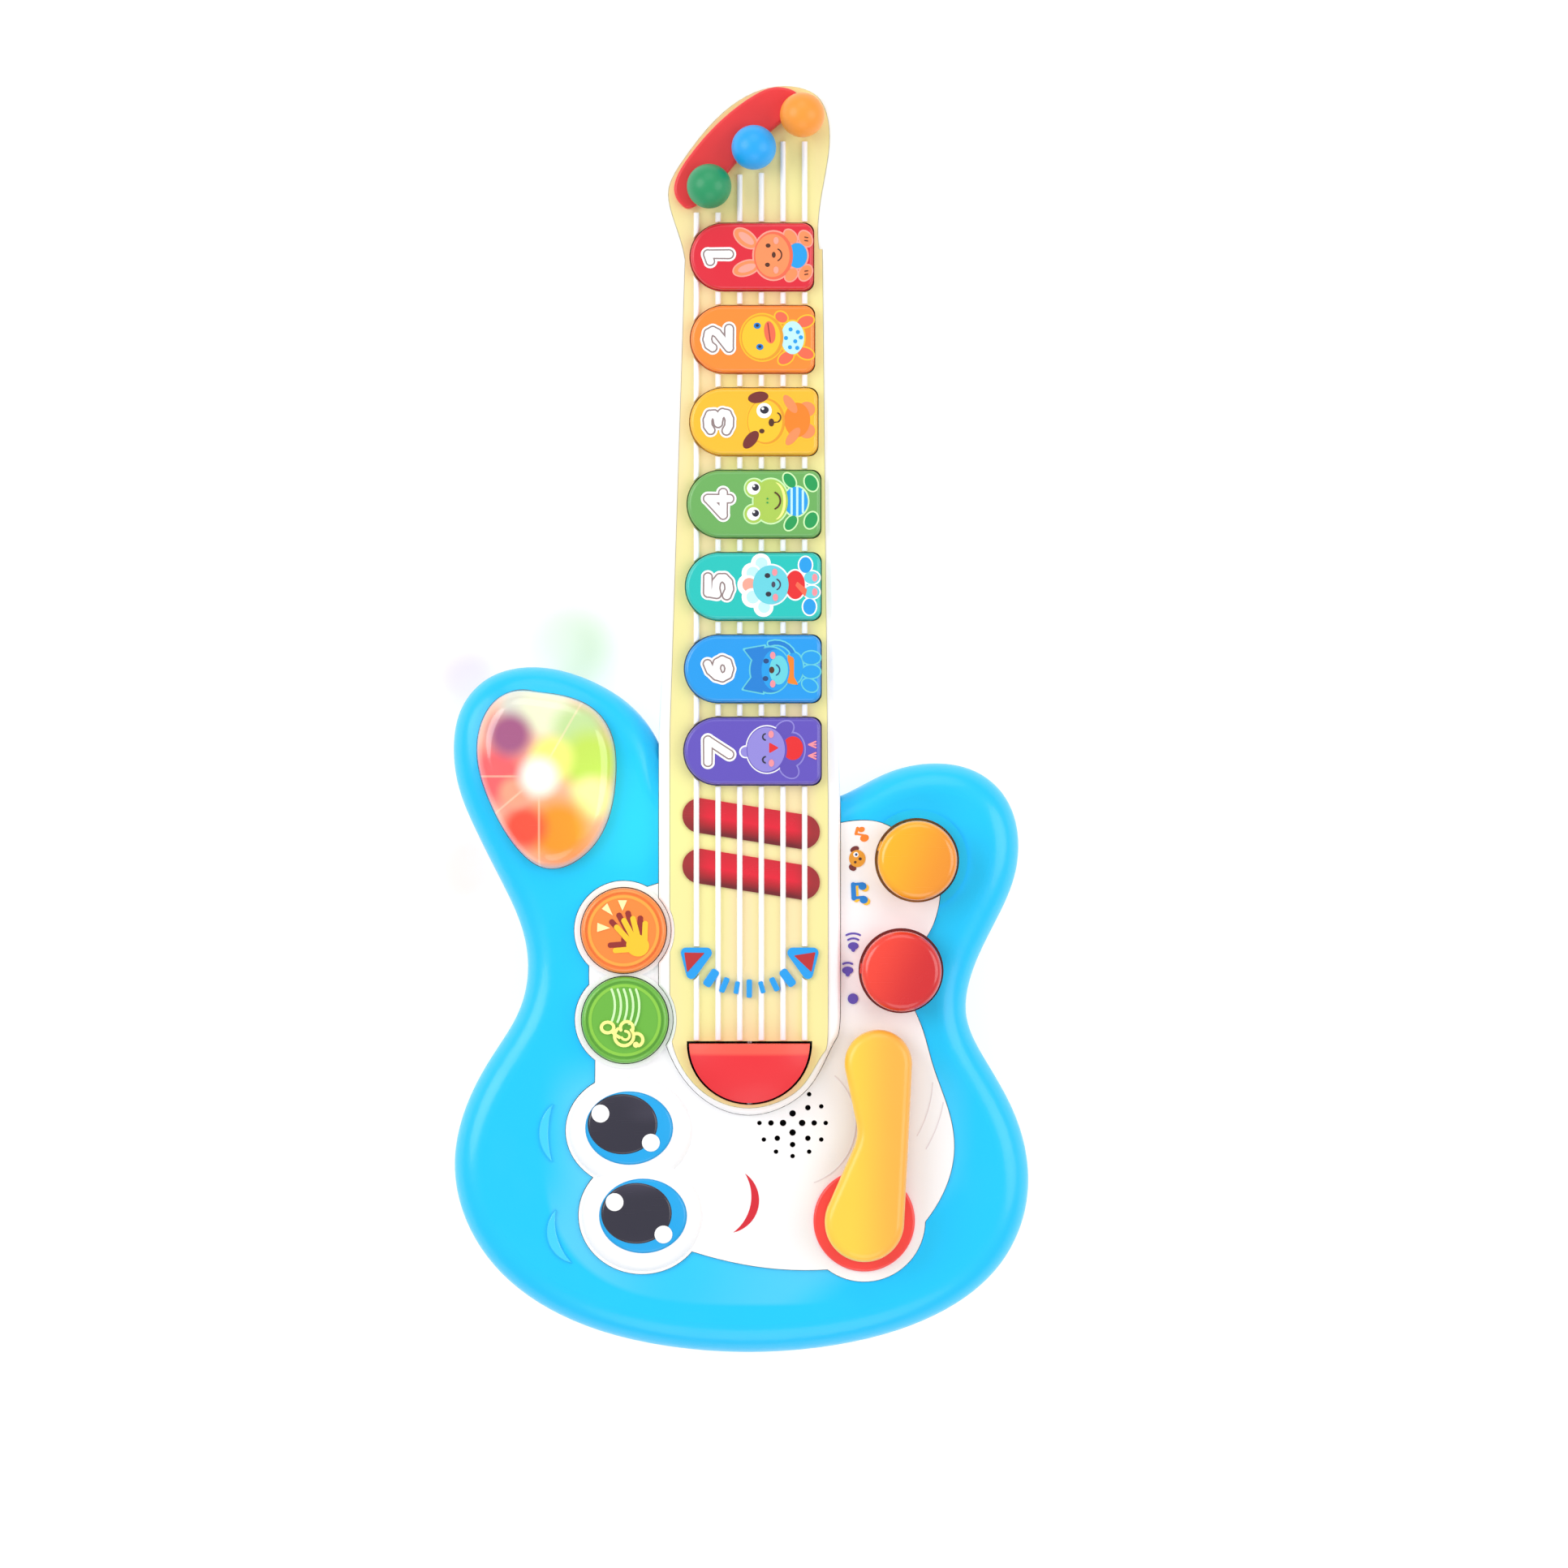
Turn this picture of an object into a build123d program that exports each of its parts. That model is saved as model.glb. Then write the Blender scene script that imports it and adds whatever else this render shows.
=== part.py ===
from build123d import *
import os
from math import cos, radians, sin

# Toy electric guitar lying on its back.
# +Y runs to the headstock, +Z is up out of the face, +X is to the right.
# Origin: middle of the footprint, on the surface it lies on. Millimetres.

# ---- walls and clearances ----
WALL = 2.4                # shell walls
SEAM = 0.2                # gap between fixed mouldings
CAP_GAP = 0.45            # gap round a key cap
BUTTON_GAP = 0.3          # gap round a push button
RUN_FIT = 0.07            # radial clearance of a turning shaft
REST_GAP = 0.3            # gap between a retaining flange and what stops it
FIT = 0.05                # radial clearance of a screw or clip

# ---- body ----
BODY_SEAM_Z = 16.0        # where the back shell meets the front shell
BODY_H = 34.0             # top of the blue front shell
FRONT_EDGE_R = 9.0        # rounding of the front edge
BACK_EDGE_R = 6.0         # rounding of the back edge
BODY_OUTLINE = [
    (-25.0, -8.0), (-35.5, 5.5), (-48.0, 12.5), (-63.0, 15.7), (-77.5, 12.0),
    (-85.2, 3.0), (-87.5, -9.0), (-86.2, -20.0), (-80.5, -34.5), (-73.0, -49.5),
    (-66.8, -63.5), (-64.9, -76.0), (-67.4, -88.5), (-75.7, -102.6), (-83.6, -117.8),
    (-87.2, -136.0), (-83.8, -152.5), (-74.5, -167.2), (-54.0, -182.0), (-26.0, -190.5),
    (2.0, -192.9), (32.0, -190.2), (58.3, -182.0), (78.0, -167.3), (86.2, -151.0),
    (87.5, -139.0), (84.0, -122.0), (75.4, -105.5), (68.6, -90.0), (70.0, -78.5),
    (76.6, -63.5), (83.0, -49.0), (84.4, -36.0), (80.4, -23.8), (72.5, -16.6),
    (59.0, -13.6), (44.0, -16.8), (30.5, -23.5), (3.0, -27.0), (-20.0, -22.0),
]

# ---- face plate ----
PLATE_TOP = BODY_H + 1.0
PLATE_T = 2.8
PLATE_FLANGE = 3.0        # how far its flange reaches under the front shell
PLATE_FLANGE_Z = BODY_H - 4.6
PLATE_OUTLINE = [
    (-13.9, -161.9), (-2.1, -165.0), (10.5, -166.9), (24.6, -167.2), (37.0, -165.5),
    (48.5, -160.0), (56.4, -152.0), (62.6, -141.0), (64.7, -130.0), (62.7, -118.0),
    (58.2, -105.2), (54.5, -92.7), (51.6, -85.5), (51.0, -77.5), (53.4, -70.5),
    (57.2, -64.8), (59.6, -58.5), (60.4, -52.5), (58.6, -45.5), (53.6, -39.0),
    (47.6, -34.2), (41.6, -31.4), (35.5, -31.0), (29.0, -32.0), (18.0, -36.0),
    (2.0, -42.0), (-14.0, -47.0), (-28.0, -51.0), (-39.0, -57.0), (-44.8, -67.0),
    (-46.0, -78.0), (-45.2, -90.0), (-44.2, -101.0), (-44.2, -111.0), (-44.2, -124.0),
    (-42.5, -138.0), (-36.0, -150.0), (-25.0, -158.5),
]
EYE_BUMPS = [(-33.5, -125.0, 19.6, 17.3), (-30.0, -150.7, 19.2, 17.8)]
EYE_BUMP_H = 4.2
EYE_RIM = 0.8             # flat rim round each eye dome
GRILLE = (15.7, -122.7)
GRILLE_RINGS = [(2.9, 1.0, range(0, 360, 90)), (6.55, 0.85, range(0, 360, 45)),
                (10.05, 0.7, range(0, 360, 30))]
GRILLE_CLEAR = 0.9        # least wall between a grille hole and the neck

# ---- neck ----
NECK_X = 2.65             # middle of the neck
NECK_HALF_LOW = 27.5      # half width over the body
NECK_STRAIGHT_Y = 138.0   # where the headstock starts
NECK_U_Y = -85.0          # where the round lower end starts
NECK_U_DEPTH = 35.2
NECK_BACK_Z = 8.0
NECK_SEAM_Z = 22.0
NECK_TOP = BODY_H + 4.0
NECK_FOOT_Z = BODY_H - 4.0        # lower edge of the neck where it lies in the body
NECK_EDGE_R = 1.5
NECK_BACK_R = 5.0
HEAD_OUTLINE = [
    (26.5, 138.0), (25.3, 152.0), (27.9, 168.0), (28.4, 180.0), (24.3, 189.6),
    (15.5, 193.0), (4.0, 191.3), (-8.5, 182.8), (-18.5, 170.5), (-23.6, 160.0),
    (-21.6, 149.5), (-18.5, 138.0),
]

# ---- fretboard panel ----
DECK_Z = BODY_H - 0.2             # underside of the deck that carries the panel
PANEL_Z = BODY_H + 2.2
PANEL_TOP = BODY_H + 4.6
PANEL_LOW_L = -21.4
PANEL_LOW_R = 26.4
PANEL_TOP_L = -16.7
PANEL_TOP_R = 24.7
PANEL_U_Y = -92.0
PANEL_END_Y = -118.0
PANEL_HEAD_RIM = 1.8
PANEL_NOTCH_WALL = 0.8    # wall left between the panel and a button's collar

# ---- strings, pickups, badges ----
STRING_W = 1.7
STRING_TOP = BODY_H + 6.0
STRING_X0 = -13.4
STRING_PITCH = 6.55
STRING_ENDS = [153.0, 153.0, 164.5, 165.0, 174.5, 174.5]
STRING_START_Y = -97.4
PICKUP_L = 42.0
PICKUP_W = 10.5
PICKUP_TOP = BODY_H + 5.3
PICKUP_TILT = -9.0
PICKUP_Y = [-31.9, -47.2]
BADGE_TOP = BODY_H + 5.6
BADGES = [[(-18.6, -69.4), (-7.2, -69.4), (-15.6, -81.0)],
          [(12.6, -69.4), (24.0, -69.4), (21.0, -81.0)]]

# ---- headstock pegs ----
BALL_R = 6.75
BALL_GAP = 0.4
PEG_STEM_R = 3.0
PEG_FLANGE_R = 4.4
PEGS = {"peg_orange": (18.6, 182.0), "peg_blue": (4.0, 172.2), "peg_green": (-9.5, 160.5)}
CRESCENT_TOP = BODY_H + 7.8
CRESCENT = [
    (-17.2, 154.6), (-20.0, 158.7), (-15.2, 170.5), (-6.0, 180.8), (4.7, 188.8),
    (11.1, 190.9), (17.0, 189.0), (9.0, 177.4), (-3.2, 165.8), (-13.6, 155.0),
]

# ---- keys ----
KEY_COUNT = 7
KEY_Y0 = 139.6
KEY_PITCH = 24.93
KEY_H = 20.0
KEY_LEFT = [-15.1, -15.0, -15.2, -16.0, -16.5, -16.8, -17.0]
KEY_RIGHT = [21.8, 22.1, 23.1, 24.0, 24.1, 24.1, 24.1]
KEY_TOP = BODY_H + 8.4
KEY_WALL = 1.6
KEY_CORNER = 3.0
KEY_TRAVEL = 1.8
KEY_TAB = 1.4             # how far its flange reaches under the deck
KEY_TAB_X = (-6.0, 17.5)
KEY_TAB_T = 2.0
STEM_R = 3.0

# ---- push buttons ----
BUTTONS = {"clap_button": (-35.5, -64.3, 12.9), "melody_button": (-35.1, -91.4, 13.1)}
BUTTON_TOP = BODY_H + 4.4
BUTTON_TRAVEL = 2.0
BUTTON_RIM = 2.1          # white rim of the plate round a button
BUTTON_FLANGE = 1.0
COLLAR_W = 1.3
COLLAR_TOP = BODY_H + 1.9

# ---- knobs ----
KNOBS = {"mode_knob": (53.4, -43.0, 12.0, 159.0), "volume_knob": (48.6, -76.5, 12.1, 176.0)}
KNOB_TOP = BODY_H + 13.0
KNOB_GAP = 0.8
KNOB_FLANGE = 2.0
KNOB_PLAY = 0.4           # play between a knob's flange and the shell above it
KNOB_FLANGE_Z = BODY_H - WALL - KNOB_PLAY
RIDGE_W = 3.4             # raised ring beside the mode knob
RIDGE_H = 1.2
SHAFT_R = 3.0
SWITCH_SIZE = 14.0
SWITCH_H = 6.0
SHAFT_REACH = 3.0         # how deep a shaft goes into its switch

# ---- whammy bar ----
BAR_PIVOT = (37.4, -152.3)
BAR_HEAD = (41.6, -104.4)
BAR_HEAD_R = 10.2
BAR_WAIST = (43.4, -127.0)
BAR_WAIST_R = 7.3
BAR_HUB_R = 12.0
BAR_Z = BODY_H + 5.6
BAR_TOP = BODY_H + 12.6
BAR_POST_R = 4.0
SEAT_R = 15.4
SEAT_TOP = BODY_H + 2.4

# ---- strum rocker ----
ROCKER = (2.65, -98.5, 18.25, 17.8)
ROCKER_SKIRT_Z = BODY_H + 1.2
ROCKER_TOP = BODY_H + 11.8
ROCKER_GAP = 0.75
PIN_Z = BODY_H - 1.7
PIN_R = 1.0

# ---- light dome ----
LENS_OUTLINE = [
    (-63.5, 8.3), (-74.5, 5.3), (-79.8, -6.0), (-75.6, -26.5), (-69.8, -36.8),
    (-58.5, -45.5), (-47.3, -41.2), (-40.5, -31.0), (-38.0, -17.5), (-39.3, -5.0),
    (-44.0, 2.2), (-53.0, 6.6),
]
LENS_TOP = BODY_H + 7.0
LENS_T = 2.0
LENS_EDGE_R = 6.0
LENS_FLANGE = 1.0
LENS_FLANGE_Z = BODY_H - 6.2
LIGHT_X = -59.5
LIGHT_Y = -17.0
LED_RING_R = 12.0
LED_COUNT = 6
LED_R = 2.4

# ---- electronics ----
BOARD_T = 1.6
MAIN_Z = 15.4
MAIN_BOX = (-45.0, 61.0, -100.0, -37.5)
NECK_BOARD_Z = 24.0
NECK_BOARD_BOX = (-8.0, 18.0, -17.0, 148.0)
LED_BOARD_Z = 19.0
PAD_H = 2.0               # height of a rubber contact when it is pressed
CONNECTOR_Y = -99.0       # face of the board's two connectors
LEAD_LIFT = 1.6           # height of the leads over the main board
SPEAKER_R = 19.5
SPEAKER_TOP = 29.2

# ---- battery bay: two AA cells ----
CELL_R = 7.25
CELL_L = 49.2
NUB_R = 2.7
NUB_L = 1.3
BAY_Y = -152.0
CELL_Z = 10.4
BAY_WALL = 1.6
CONTACT_T = 0.6
DOOR_GAP = 0.3
DOOR_LIP = 2.4
DOOR_SCREW_X = -36.5

# ---- fasteners ----
POST_R = 4.0
SCREW_R = 1.2
HEAD_R = 2.6
HEAD_T = 1.9
CROSS_REACH = 0.6         # share of a head's radius that its cross reaches
CROSS_HALF = 0.35
CROSS_DEPTH = 0.9
SUNK_Z = 9.0              # ledge that the body screws' heads sit on
BODY_POSTS = [(-59.3, -60.0), (71.5, -37.0), (-74.5, -134.0), (75.5, -140.0),
              (-45.0, -178.0), (45.0, -178.8)]
NECK_POSTS = [(-11.0, 127.1), (20.7, 127.1), (-11.2, 77.3), (21.0, 77.3),
              (-11.6, 27.4), (21.6, 27.4), (13.0, 157.5)]
NECK_POST_R = 2.0
ROOT_POSTS = [(2.65, -55.0), (2.65, -88.0)]
BOARD_POSTS = [(-41.0, -43.0), (57.0, -60.0), (-41.0, -104.0), (57.0, -96.0)]
TONGUE_X = (-12.0, 18.0)
TONGUE_Y = (-35.5, -18.0)
TONGUE_Z = (11.0, 21.0)


# ---------------------------------------------------------------- helpers
def slab(face, z0, z1):
    """Face extruded between two heights."""
    return Pos(0, 0, z0) * extrude(face, z1 - z0)


def block(x0, x1, y0, y1, z0, z1):
    """Box between two corners."""
    return Pos((x0 + x1) / 2, (y0 + y1) / 2, (z0 + z1) / 2) * Box(x1 - x0, y1 - y0, z1 - z0)


def rod(x, y, r, z0, z1):
    """Upright cylinder between two heights."""
    return Pos(x, y, (z0 + z1) / 2) * Cylinder(r, z1 - z0)


def rod_x(x0, x1, y, z, r):
    """Cylinder along X."""
    return Pos((x0 + x1) / 2, y, z) * Rot(0, 90, 0) * Cylinder(r, x1 - x0)


def rod_y(x, y0, y1, z, r):
    """Cylinder along Y."""
    return Pos(x, (y0 + y1) / 2, z) * Rot(90, 0, 0) * Cylinder(r, y1 - y0)


def disc(x, y, r):
    """Flat round face."""
    return Pos(x, y) * Circle(r)


def pushed_out(curve, share_points, d):
    """Points along a counterclockwise curve, moved outwards by d."""
    places = [(curve @ t, curve % t) for t in share_points]
    return [(p.X + d * t.Y, p.Y - d * t.X) for p, t in places]


def closed_spline(points, grow=0.0):
    """Face inside a closed smooth curve, grown all round."""
    curve = Spline(*points, periodic=True)
    if grow:
        count = 2 * len(points)
        curve = Spline(*pushed_out(curve, [i / count for i in range(count)], grow), periodic=True)
    return make_face(curve)


def oval(x, y, a, b):
    """Flat oval face as a smooth closed curve."""
    turns = [radians(30 * i) for i in range(12)]
    return closed_spline([(x + a * cos(t), y + b * sin(t)) for t in turns])


def round_end(x, y, a, b):
    """Lower half of an oval, from its left end to its right end."""
    turns = [radians(180 + 22.5 * i) for i in range(9)]
    points = [(x + a * cos(t), y + b * sin(t)) for t in turns]
    return Spline(*points, tangents=[(0, -1), (0, 1)])


def soften(face, r):
    """Rounds the inner corners of a face."""
    return offset(offset(face, amount=r), amount=-r)


def top_edges(solid):
    """Edges of the highest face."""
    return solid.faces().sort_by(Axis.Z)[-1].edges()


def bottom_edges(solid):
    """Edges of the lowest face."""
    return solid.faces().sort_by(Axis.Z)[0].edges()


def screw(x, y, z_ledge, z_tip, head_r=HEAD_R, shank_r=SCREW_R):
    """Screw driven upwards, its head under a ledge."""
    body = rod(x, y, head_r, z_ledge - HEAD_T, z_ledge)
    body += rod(x, y, shank_r, z_ledge, z_tip)
    foot = z_ledge - HEAD_T
    arm = head_r * CROSS_REACH
    slot = block(x - arm, x + arm, y - CROSS_HALF, y + CROSS_HALF, foot, foot + CROSS_DEPTH)
    cross = block(x - CROSS_HALF, x + CROSS_HALF, y - arm, y + arm, foot, foot + CROSS_DEPTH)
    return body - slot - cross


def save(name, shape):
    """Writes one node."""
    solids = shape.solids()
    shape = solids[0] if len(solids) == 1 else Compound(children=list(solids))
    shape.label = name
    export_step(shape, f"parts/{name}.step")
    print(name, len(solids), round(shape.volume, 1))


# ---------------------------------------------------------------- outlines
def neck_face(grow=0.0):
    """Outer outline of the neck and headstock, with its round lower end, grown all round."""
    left = NECK_X - NECK_HALF_LOW - grow
    right = NECK_X + NECK_HALF_LOW + grow
    head = Spline(*HEAD_OUTLINE)
    if grow:
        count = 2 * len(HEAD_OUTLINE)
        head = Spline(*pushed_out(head, [i / count for i in range(count + 1)], grow))
    end = round_end(NECK_X, NECK_U_Y, NECK_HALF_LOW + grow, NECK_U_DEPTH + grow)
    left_side = Polyline(head @ 1, (left, -5.0), (left, NECK_U_Y))
    right_side = Polyline((right, NECK_U_Y), (right, -25.0), head @ 0)
    face = make_face([head, left_side, end, right_side])
    for x, y, r in BUTTONS.values():
        face -= disc(x, y, r + BUTTON_GAP + COLLAR_W - grow)
    return face


def panel_face(grow=0.0):
    """Outline of the fretboard panel, grown all round."""
    mid = (PANEL_LOW_L + PANEL_LOW_R) / 2
    half = (PANEL_LOW_R - PANEL_LOW_L) / 2 + grow
    top_y = NECK_STRAIGHT_Y + 4
    end = round_end(mid, PANEL_U_Y, half, PANEL_U_Y - PANEL_END_Y + grow)
    sides = Polyline(
        (mid + half, PANEL_U_Y), (mid + half, -25.0), (PANEL_TOP_R + grow, top_y),
        (PANEL_TOP_L - grow, top_y), (mid - half, -5.0), (mid - half, PANEL_U_Y))
    low = make_face([end, sides])
    for x, y, r in BUTTONS.values():
        low -= disc(x, y, r + BUTTON_GAP + COLLAR_W + SEAM + PANEL_NOTCH_WALL - grow)
    above = Pos(0, NECK_STRAIGHT_Y + 101) * Rectangle(200, 200)
    return low + (neck_face(grow - PANEL_HEAD_RIM) & above)


def plate_base(grow=0.0):
    """Outline of the face plate before the neck and knobs are cut out of it."""
    face = closed_spline(PLATE_OUTLINE, grow)
    for x, y, a, b in EYE_BUMPS:
        face += oval(x, y, a + grow, b + grow)
    for x, y, r in BUTTONS.values():
        face += disc(x, y, r + BUTTON_RIM + grow)
    return face + disc(*BAR_PIVOT, SEAT_R + 3.1 + grow)


def knob_holes(grow=0.0):
    """Round holes for the two knobs."""
    discs = [disc(x, y, r + KNOB_GAP + grow) for x, y, r, _ in KNOBS.values()]
    return discs[0] + discs[1]


def key_face(i, grow=0.0):
    """Outline of one key, round on the left and squarer on the right."""
    y = KEY_Y0 - i * KEY_PITCH
    h = KEY_H / 2 + grow
    x0 = KEY_LEFT[i] - grow
    x1 = KEY_RIGHT[i] + grow
    bar = Pos((x0 + h + x1) / 2, y) * Rectangle(x1 - x0 - h, 2 * h)
    right = bar.vertices().group_by(Axis.X)[-1]
    return fillet(right, KEY_CORNER) + disc(x0 + h, y, h)


def rocker_face(grow=0.0):
    """Half-moon of the strum rocker."""
    x, y, a, b = ROCKER
    moon = oval(x, y, a + grow, b + grow)
    return moon & Pos(x, y + grow - 25) * Rectangle(100, 50)


# ---------------------------------------------------------------- body
def body_solids():
    """Outer forms of the front and back shells and the hollows in them."""
    outline = closed_spline(BODY_OUTLINE)
    inner = closed_spline(BODY_OUTLINE, -WALL)
    front = slab(outline, BODY_SEAM_Z, BODY_H)
    front = fillet(top_edges(front), FRONT_EDGE_R)
    front_hollow = slab(inner, BODY_SEAM_Z, BODY_H - WALL)
    front_hollow = fillet(top_edges(front_hollow), FRONT_EDGE_R - WALL)
    back = slab(outline, 0, BODY_SEAM_Z - SEAM / 2)
    back = fillet(bottom_edges(back), BACK_EDGE_R)
    back_hollow = slab(inner, WALL, BODY_SEAM_Z)
    back_hollow = fillet(bottom_edges(back_hollow), BACK_EDGE_R - WALL)
    return front, front_hollow, back, back_hollow


def tongue_window():
    """Opening in the body's wall that the neck's tongue goes through."""
    return block(TONGUE_X[0] - SEAM, TONGUE_X[1] + SEAM, TONGUE_Y[0] + 3, 0,
                 TONGUE_Z[0] - SEAM, TONGUE_Z[1] + SEAM)


def body_shell_front(front, hollow):
    x, y, r, _ = KNOBS["mode_knob"]
    ridge = disc(x, y, r + RIDGE_W) - disc(x, y, r - 1)
    shell = front - hollow + slab(ridge, BODY_H - 1, BODY_H + RIDGE_H)
    opening = plate_base(SEAM) + neck_face(SEAM) + knob_holes()
    shell -= slab(opening, NECK_FOOT_Z - SEAM, BODY_H + 5)
    shell -= slab(closed_spline(LENS_OUTLINE, SEAM), LENS_FLANGE_Z, BODY_H + 5)
    for px, py in BODY_POSTS:
        shell += rod(px, py, POST_R, BODY_SEAM_Z, BODY_H - WALL + 0.2)
        shell -= rod(px, py, SCREW_R + FIT, BODY_SEAM_Z - 1, BODY_H - 6)
    return shell - tongue_window()


def bay_size():
    """Half length, half width and height of the battery box's hollow."""
    half_l = (CELL_L + NUB_L) / 2 + 2 * CONTACT_T + 1.6
    half_w = 2 * CELL_R + 1.0
    return half_l, half_w, CELL_Z + CELL_R + 0.6


def door_span():
    """Edges of the battery door."""
    half_l, half_w, _ = bay_size()
    return (DOOR_SCREW_X - 5.5, half_l + DOOR_LIP, BAY_Y - half_w - DOOR_LIP, BAY_Y + half_w + DOOR_LIP)


def body_shell_back(back, hollow):
    shell = back - hollow
    x0, x1, y0, y1 = door_span()
    shell -= block(x0 - DOOR_GAP, x1 + DOOR_GAP, y0 - DOOR_GAP, y1 + DOOR_GAP, -1, WALL + 1)
    for px, py in BODY_POSTS:
        shell += rod(px, py, POST_R, WALL - 0.2, BODY_SEAM_Z - SEAM / 2)
        shell -= rod(px, py, HEAD_R + 0.3, -1, SUNK_Z)
        shell -= rod(px, py, SCREW_R + FIT, -1, BODY_SEAM_Z + 1)
    for px, py in ROOT_POSTS:
        shell += rod(px, py, POST_R, WALL - 0.2, 20.0)
        shell -= rod(px, py, HEAD_R + 0.3, -1, SUNK_Z)
        shell -= rod(px, py, SCREW_R + FIT, -1, 21)
    for px, py in BOARD_POSTS:
        shell += rod(px, py, POST_R - 1, WALL - 0.2, MAIN_Z)
        shell -= rod(px, py, SCREW_R + FIT, MAIN_Z - 8, MAIN_Z + 1)
    for px, py in ((LIGHT_X - 9, LIGHT_Y), (LIGHT_X + 9, LIGHT_Y)):
        shell += rod(px, py, POST_R - 1, WALL - 0.2, LED_BOARD_Z)
    tongue_mid = ((TONGUE_X[0] + TONGUE_X[1]) / 2, TONGUE_Y[0] + 4)
    shell += rod(*tongue_mid, POST_R, WALL - 0.2, TONGUE_Z[0])
    shell -= rod(*tongue_mid, HEAD_R + 0.3, -1, 6.0)
    shell -= rod(*tongue_mid, SCREW_R + FIT, -1, TONGUE_Z[0] + 1)
    shell += rod(*BAR_PIVOT, SWITCH_SIZE / 2 - 2, WALL - 0.2, 17.0)
    return shell - tongue_window()


def face_plate():
    room = slab(neck_face(SEAM), 0, 60)
    inner = plate_base(-WALL) - knob_holes(WALL) - neck_face(SEAM + WALL)
    body = slab(plate_base() - knob_holes(), PLATE_FLANGE_Z, PLATE_TOP)
    flat_ceiling = closed_spline(BODY_OUTLINE, -FRONT_EDGE_R)
    body += slab(plate_base(PLATE_FLANGE) & flat_ceiling, PLATE_FLANGE_Z, BODY_H - WALL - SEAM)
    body -= slab(inner, PLATE_FLANGE_Z - 1, PLATE_TOP - PLATE_T)
    for x, y, a, b in EYE_BUMPS:
        dome = scale(Sphere(1.0), by=(a - EYE_RIM, b - EYE_RIM, EYE_BUMP_H))
        cap = Pos(x, y, PLATE_TOP - 0.4) * dome
        body += cap & block(x - 40, x + 40, y - 40, y + 40, PLATE_TOP - 1, PLATE_TOP + 10)
    for x, y, r in BUTTONS.values():
        body += rod(x, y, r + BUTTON_GAP + COLLAR_W, PLATE_TOP - 1, COLLAR_TOP)
    for x, y, r in BUTTONS.values():
        body -= rod(x, y, r + BUTTON_GAP, 0, 60)
        body -= rod(x, y, r + BUTTON_FLANGE + REST_GAP, 0, PLATE_TOP - PLATE_T)
    for x, y, r, _ in KNOBS.values():
        body -= rod(x, y, r + KNOB_GAP, 0, 60)
        body -= rod(x, y, r + KNOB_FLANGE + 1.0, 0, BODY_H - WALL)
    gx, gy = GRILLE
    body += rod(gx, gy, SPEAKER_R, SPEAKER_TOP + 0.1, PLATE_TOP - 1)
    body -= rod(gx, gy, SPEAKER_R - 2.5, SPEAKER_TOP, PLATE_TOP - PLATE_T)
    for ring_r, hole_r, angles in GRILLE_RINGS:
        for a in angles:
            hx = gx + ring_r * cos(radians(a))
            hy = gy + ring_r * sin(radians(a))
            if not hidden_by_neck(hx, hy, hole_r):
                body -= rod(hx, hy, hole_r, 20, 60)
    px, py = BAR_PIVOT
    body += rod(px, py, BAR_POST_R + 3.5, BODY_H - WALL, PLATE_TOP - 1)
    body -= rod(px, py, BAR_POST_R + RUN_FIT, 0, 60)
    return body - room


def hidden_by_neck(x, y, r):
    """True where a grille hole would run into the neck's round end."""
    a = NECK_HALF_LOW + GRILLE_CLEAR + r
    b = NECK_U_DEPTH + GRILLE_CLEAR + r
    return ((x - NECK_X) / a) ** 2 + ((y - NECK_U_Y) / b) ** 2 < 1


# ---------------------------------------------------------------- neck
def neck_shell_front():
    shell = slab(neck_face(), NECK_SEAM_Z, NECK_TOP)
    shell = fillet(top_edges(shell), NECK_EDGE_R)
    shell -= slab(neck_face(-WALL), NECK_SEAM_Z - 1, DECK_Z)
    shell -= slab(panel_face(SEAM / 2), PANEL_Z, NECK_TOP + 1)
    shell -= slab(closed_spline(BODY_OUTLINE, SEAM), 0, NECK_FOOT_Z)
    for x, y, r in BUTTONS.values():
        shell -= rod(x, y, r + BUTTON_FLANGE + 0.8, 0, PLATE_TOP - PLATE_T)
    for px, py in NECK_POSTS:
        shell += rod(px, py, NECK_POST_R, NECK_SEAM_Z + SEAM / 2, DECK_Z + 0.2)
        shell -= rod(px, py, SCREW_R - 0.2 + FIT, 0, DECK_Z - 2)
    for px, py in ROOT_POSTS:
        shell += rod(px, py, POST_R, 20.0 + SEAM, DECK_Z + 0.2)
        shell -= rod(px, py, SCREW_R + FIT, 0, DECK_Z - 2)
    ear = ROCKER[1] + ROCKER_GAP + 0.4
    shell += block(NECK_X - 4, NECK_X + 4, ear, ear + 3, NECK_FOOT_Z, DECK_Z + 0.2)
    shell -= rod_y(NECK_X, NECK_U_Y - NECK_U_DEPTH + 1.0, ear + 2.5, PIN_Z, PIN_R + RUN_FIT)
    return shell - moving_windows()


def moving_windows():
    """Openings for the keys, the rocker and the pegs."""
    cut = slab(rocker_face(ROCKER_GAP), DECK_Z - 1, 60)
    for i in range(KEY_COUNT):
        cut += slab(key_face(i, CAP_GAP), DECK_Z - 1, 60)
    for x, y in PEGS.values():
        cut += rod(x, y, PEG_STEM_R + RUN_FIT, DECK_Z - 1, 60)
    return cut


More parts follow.
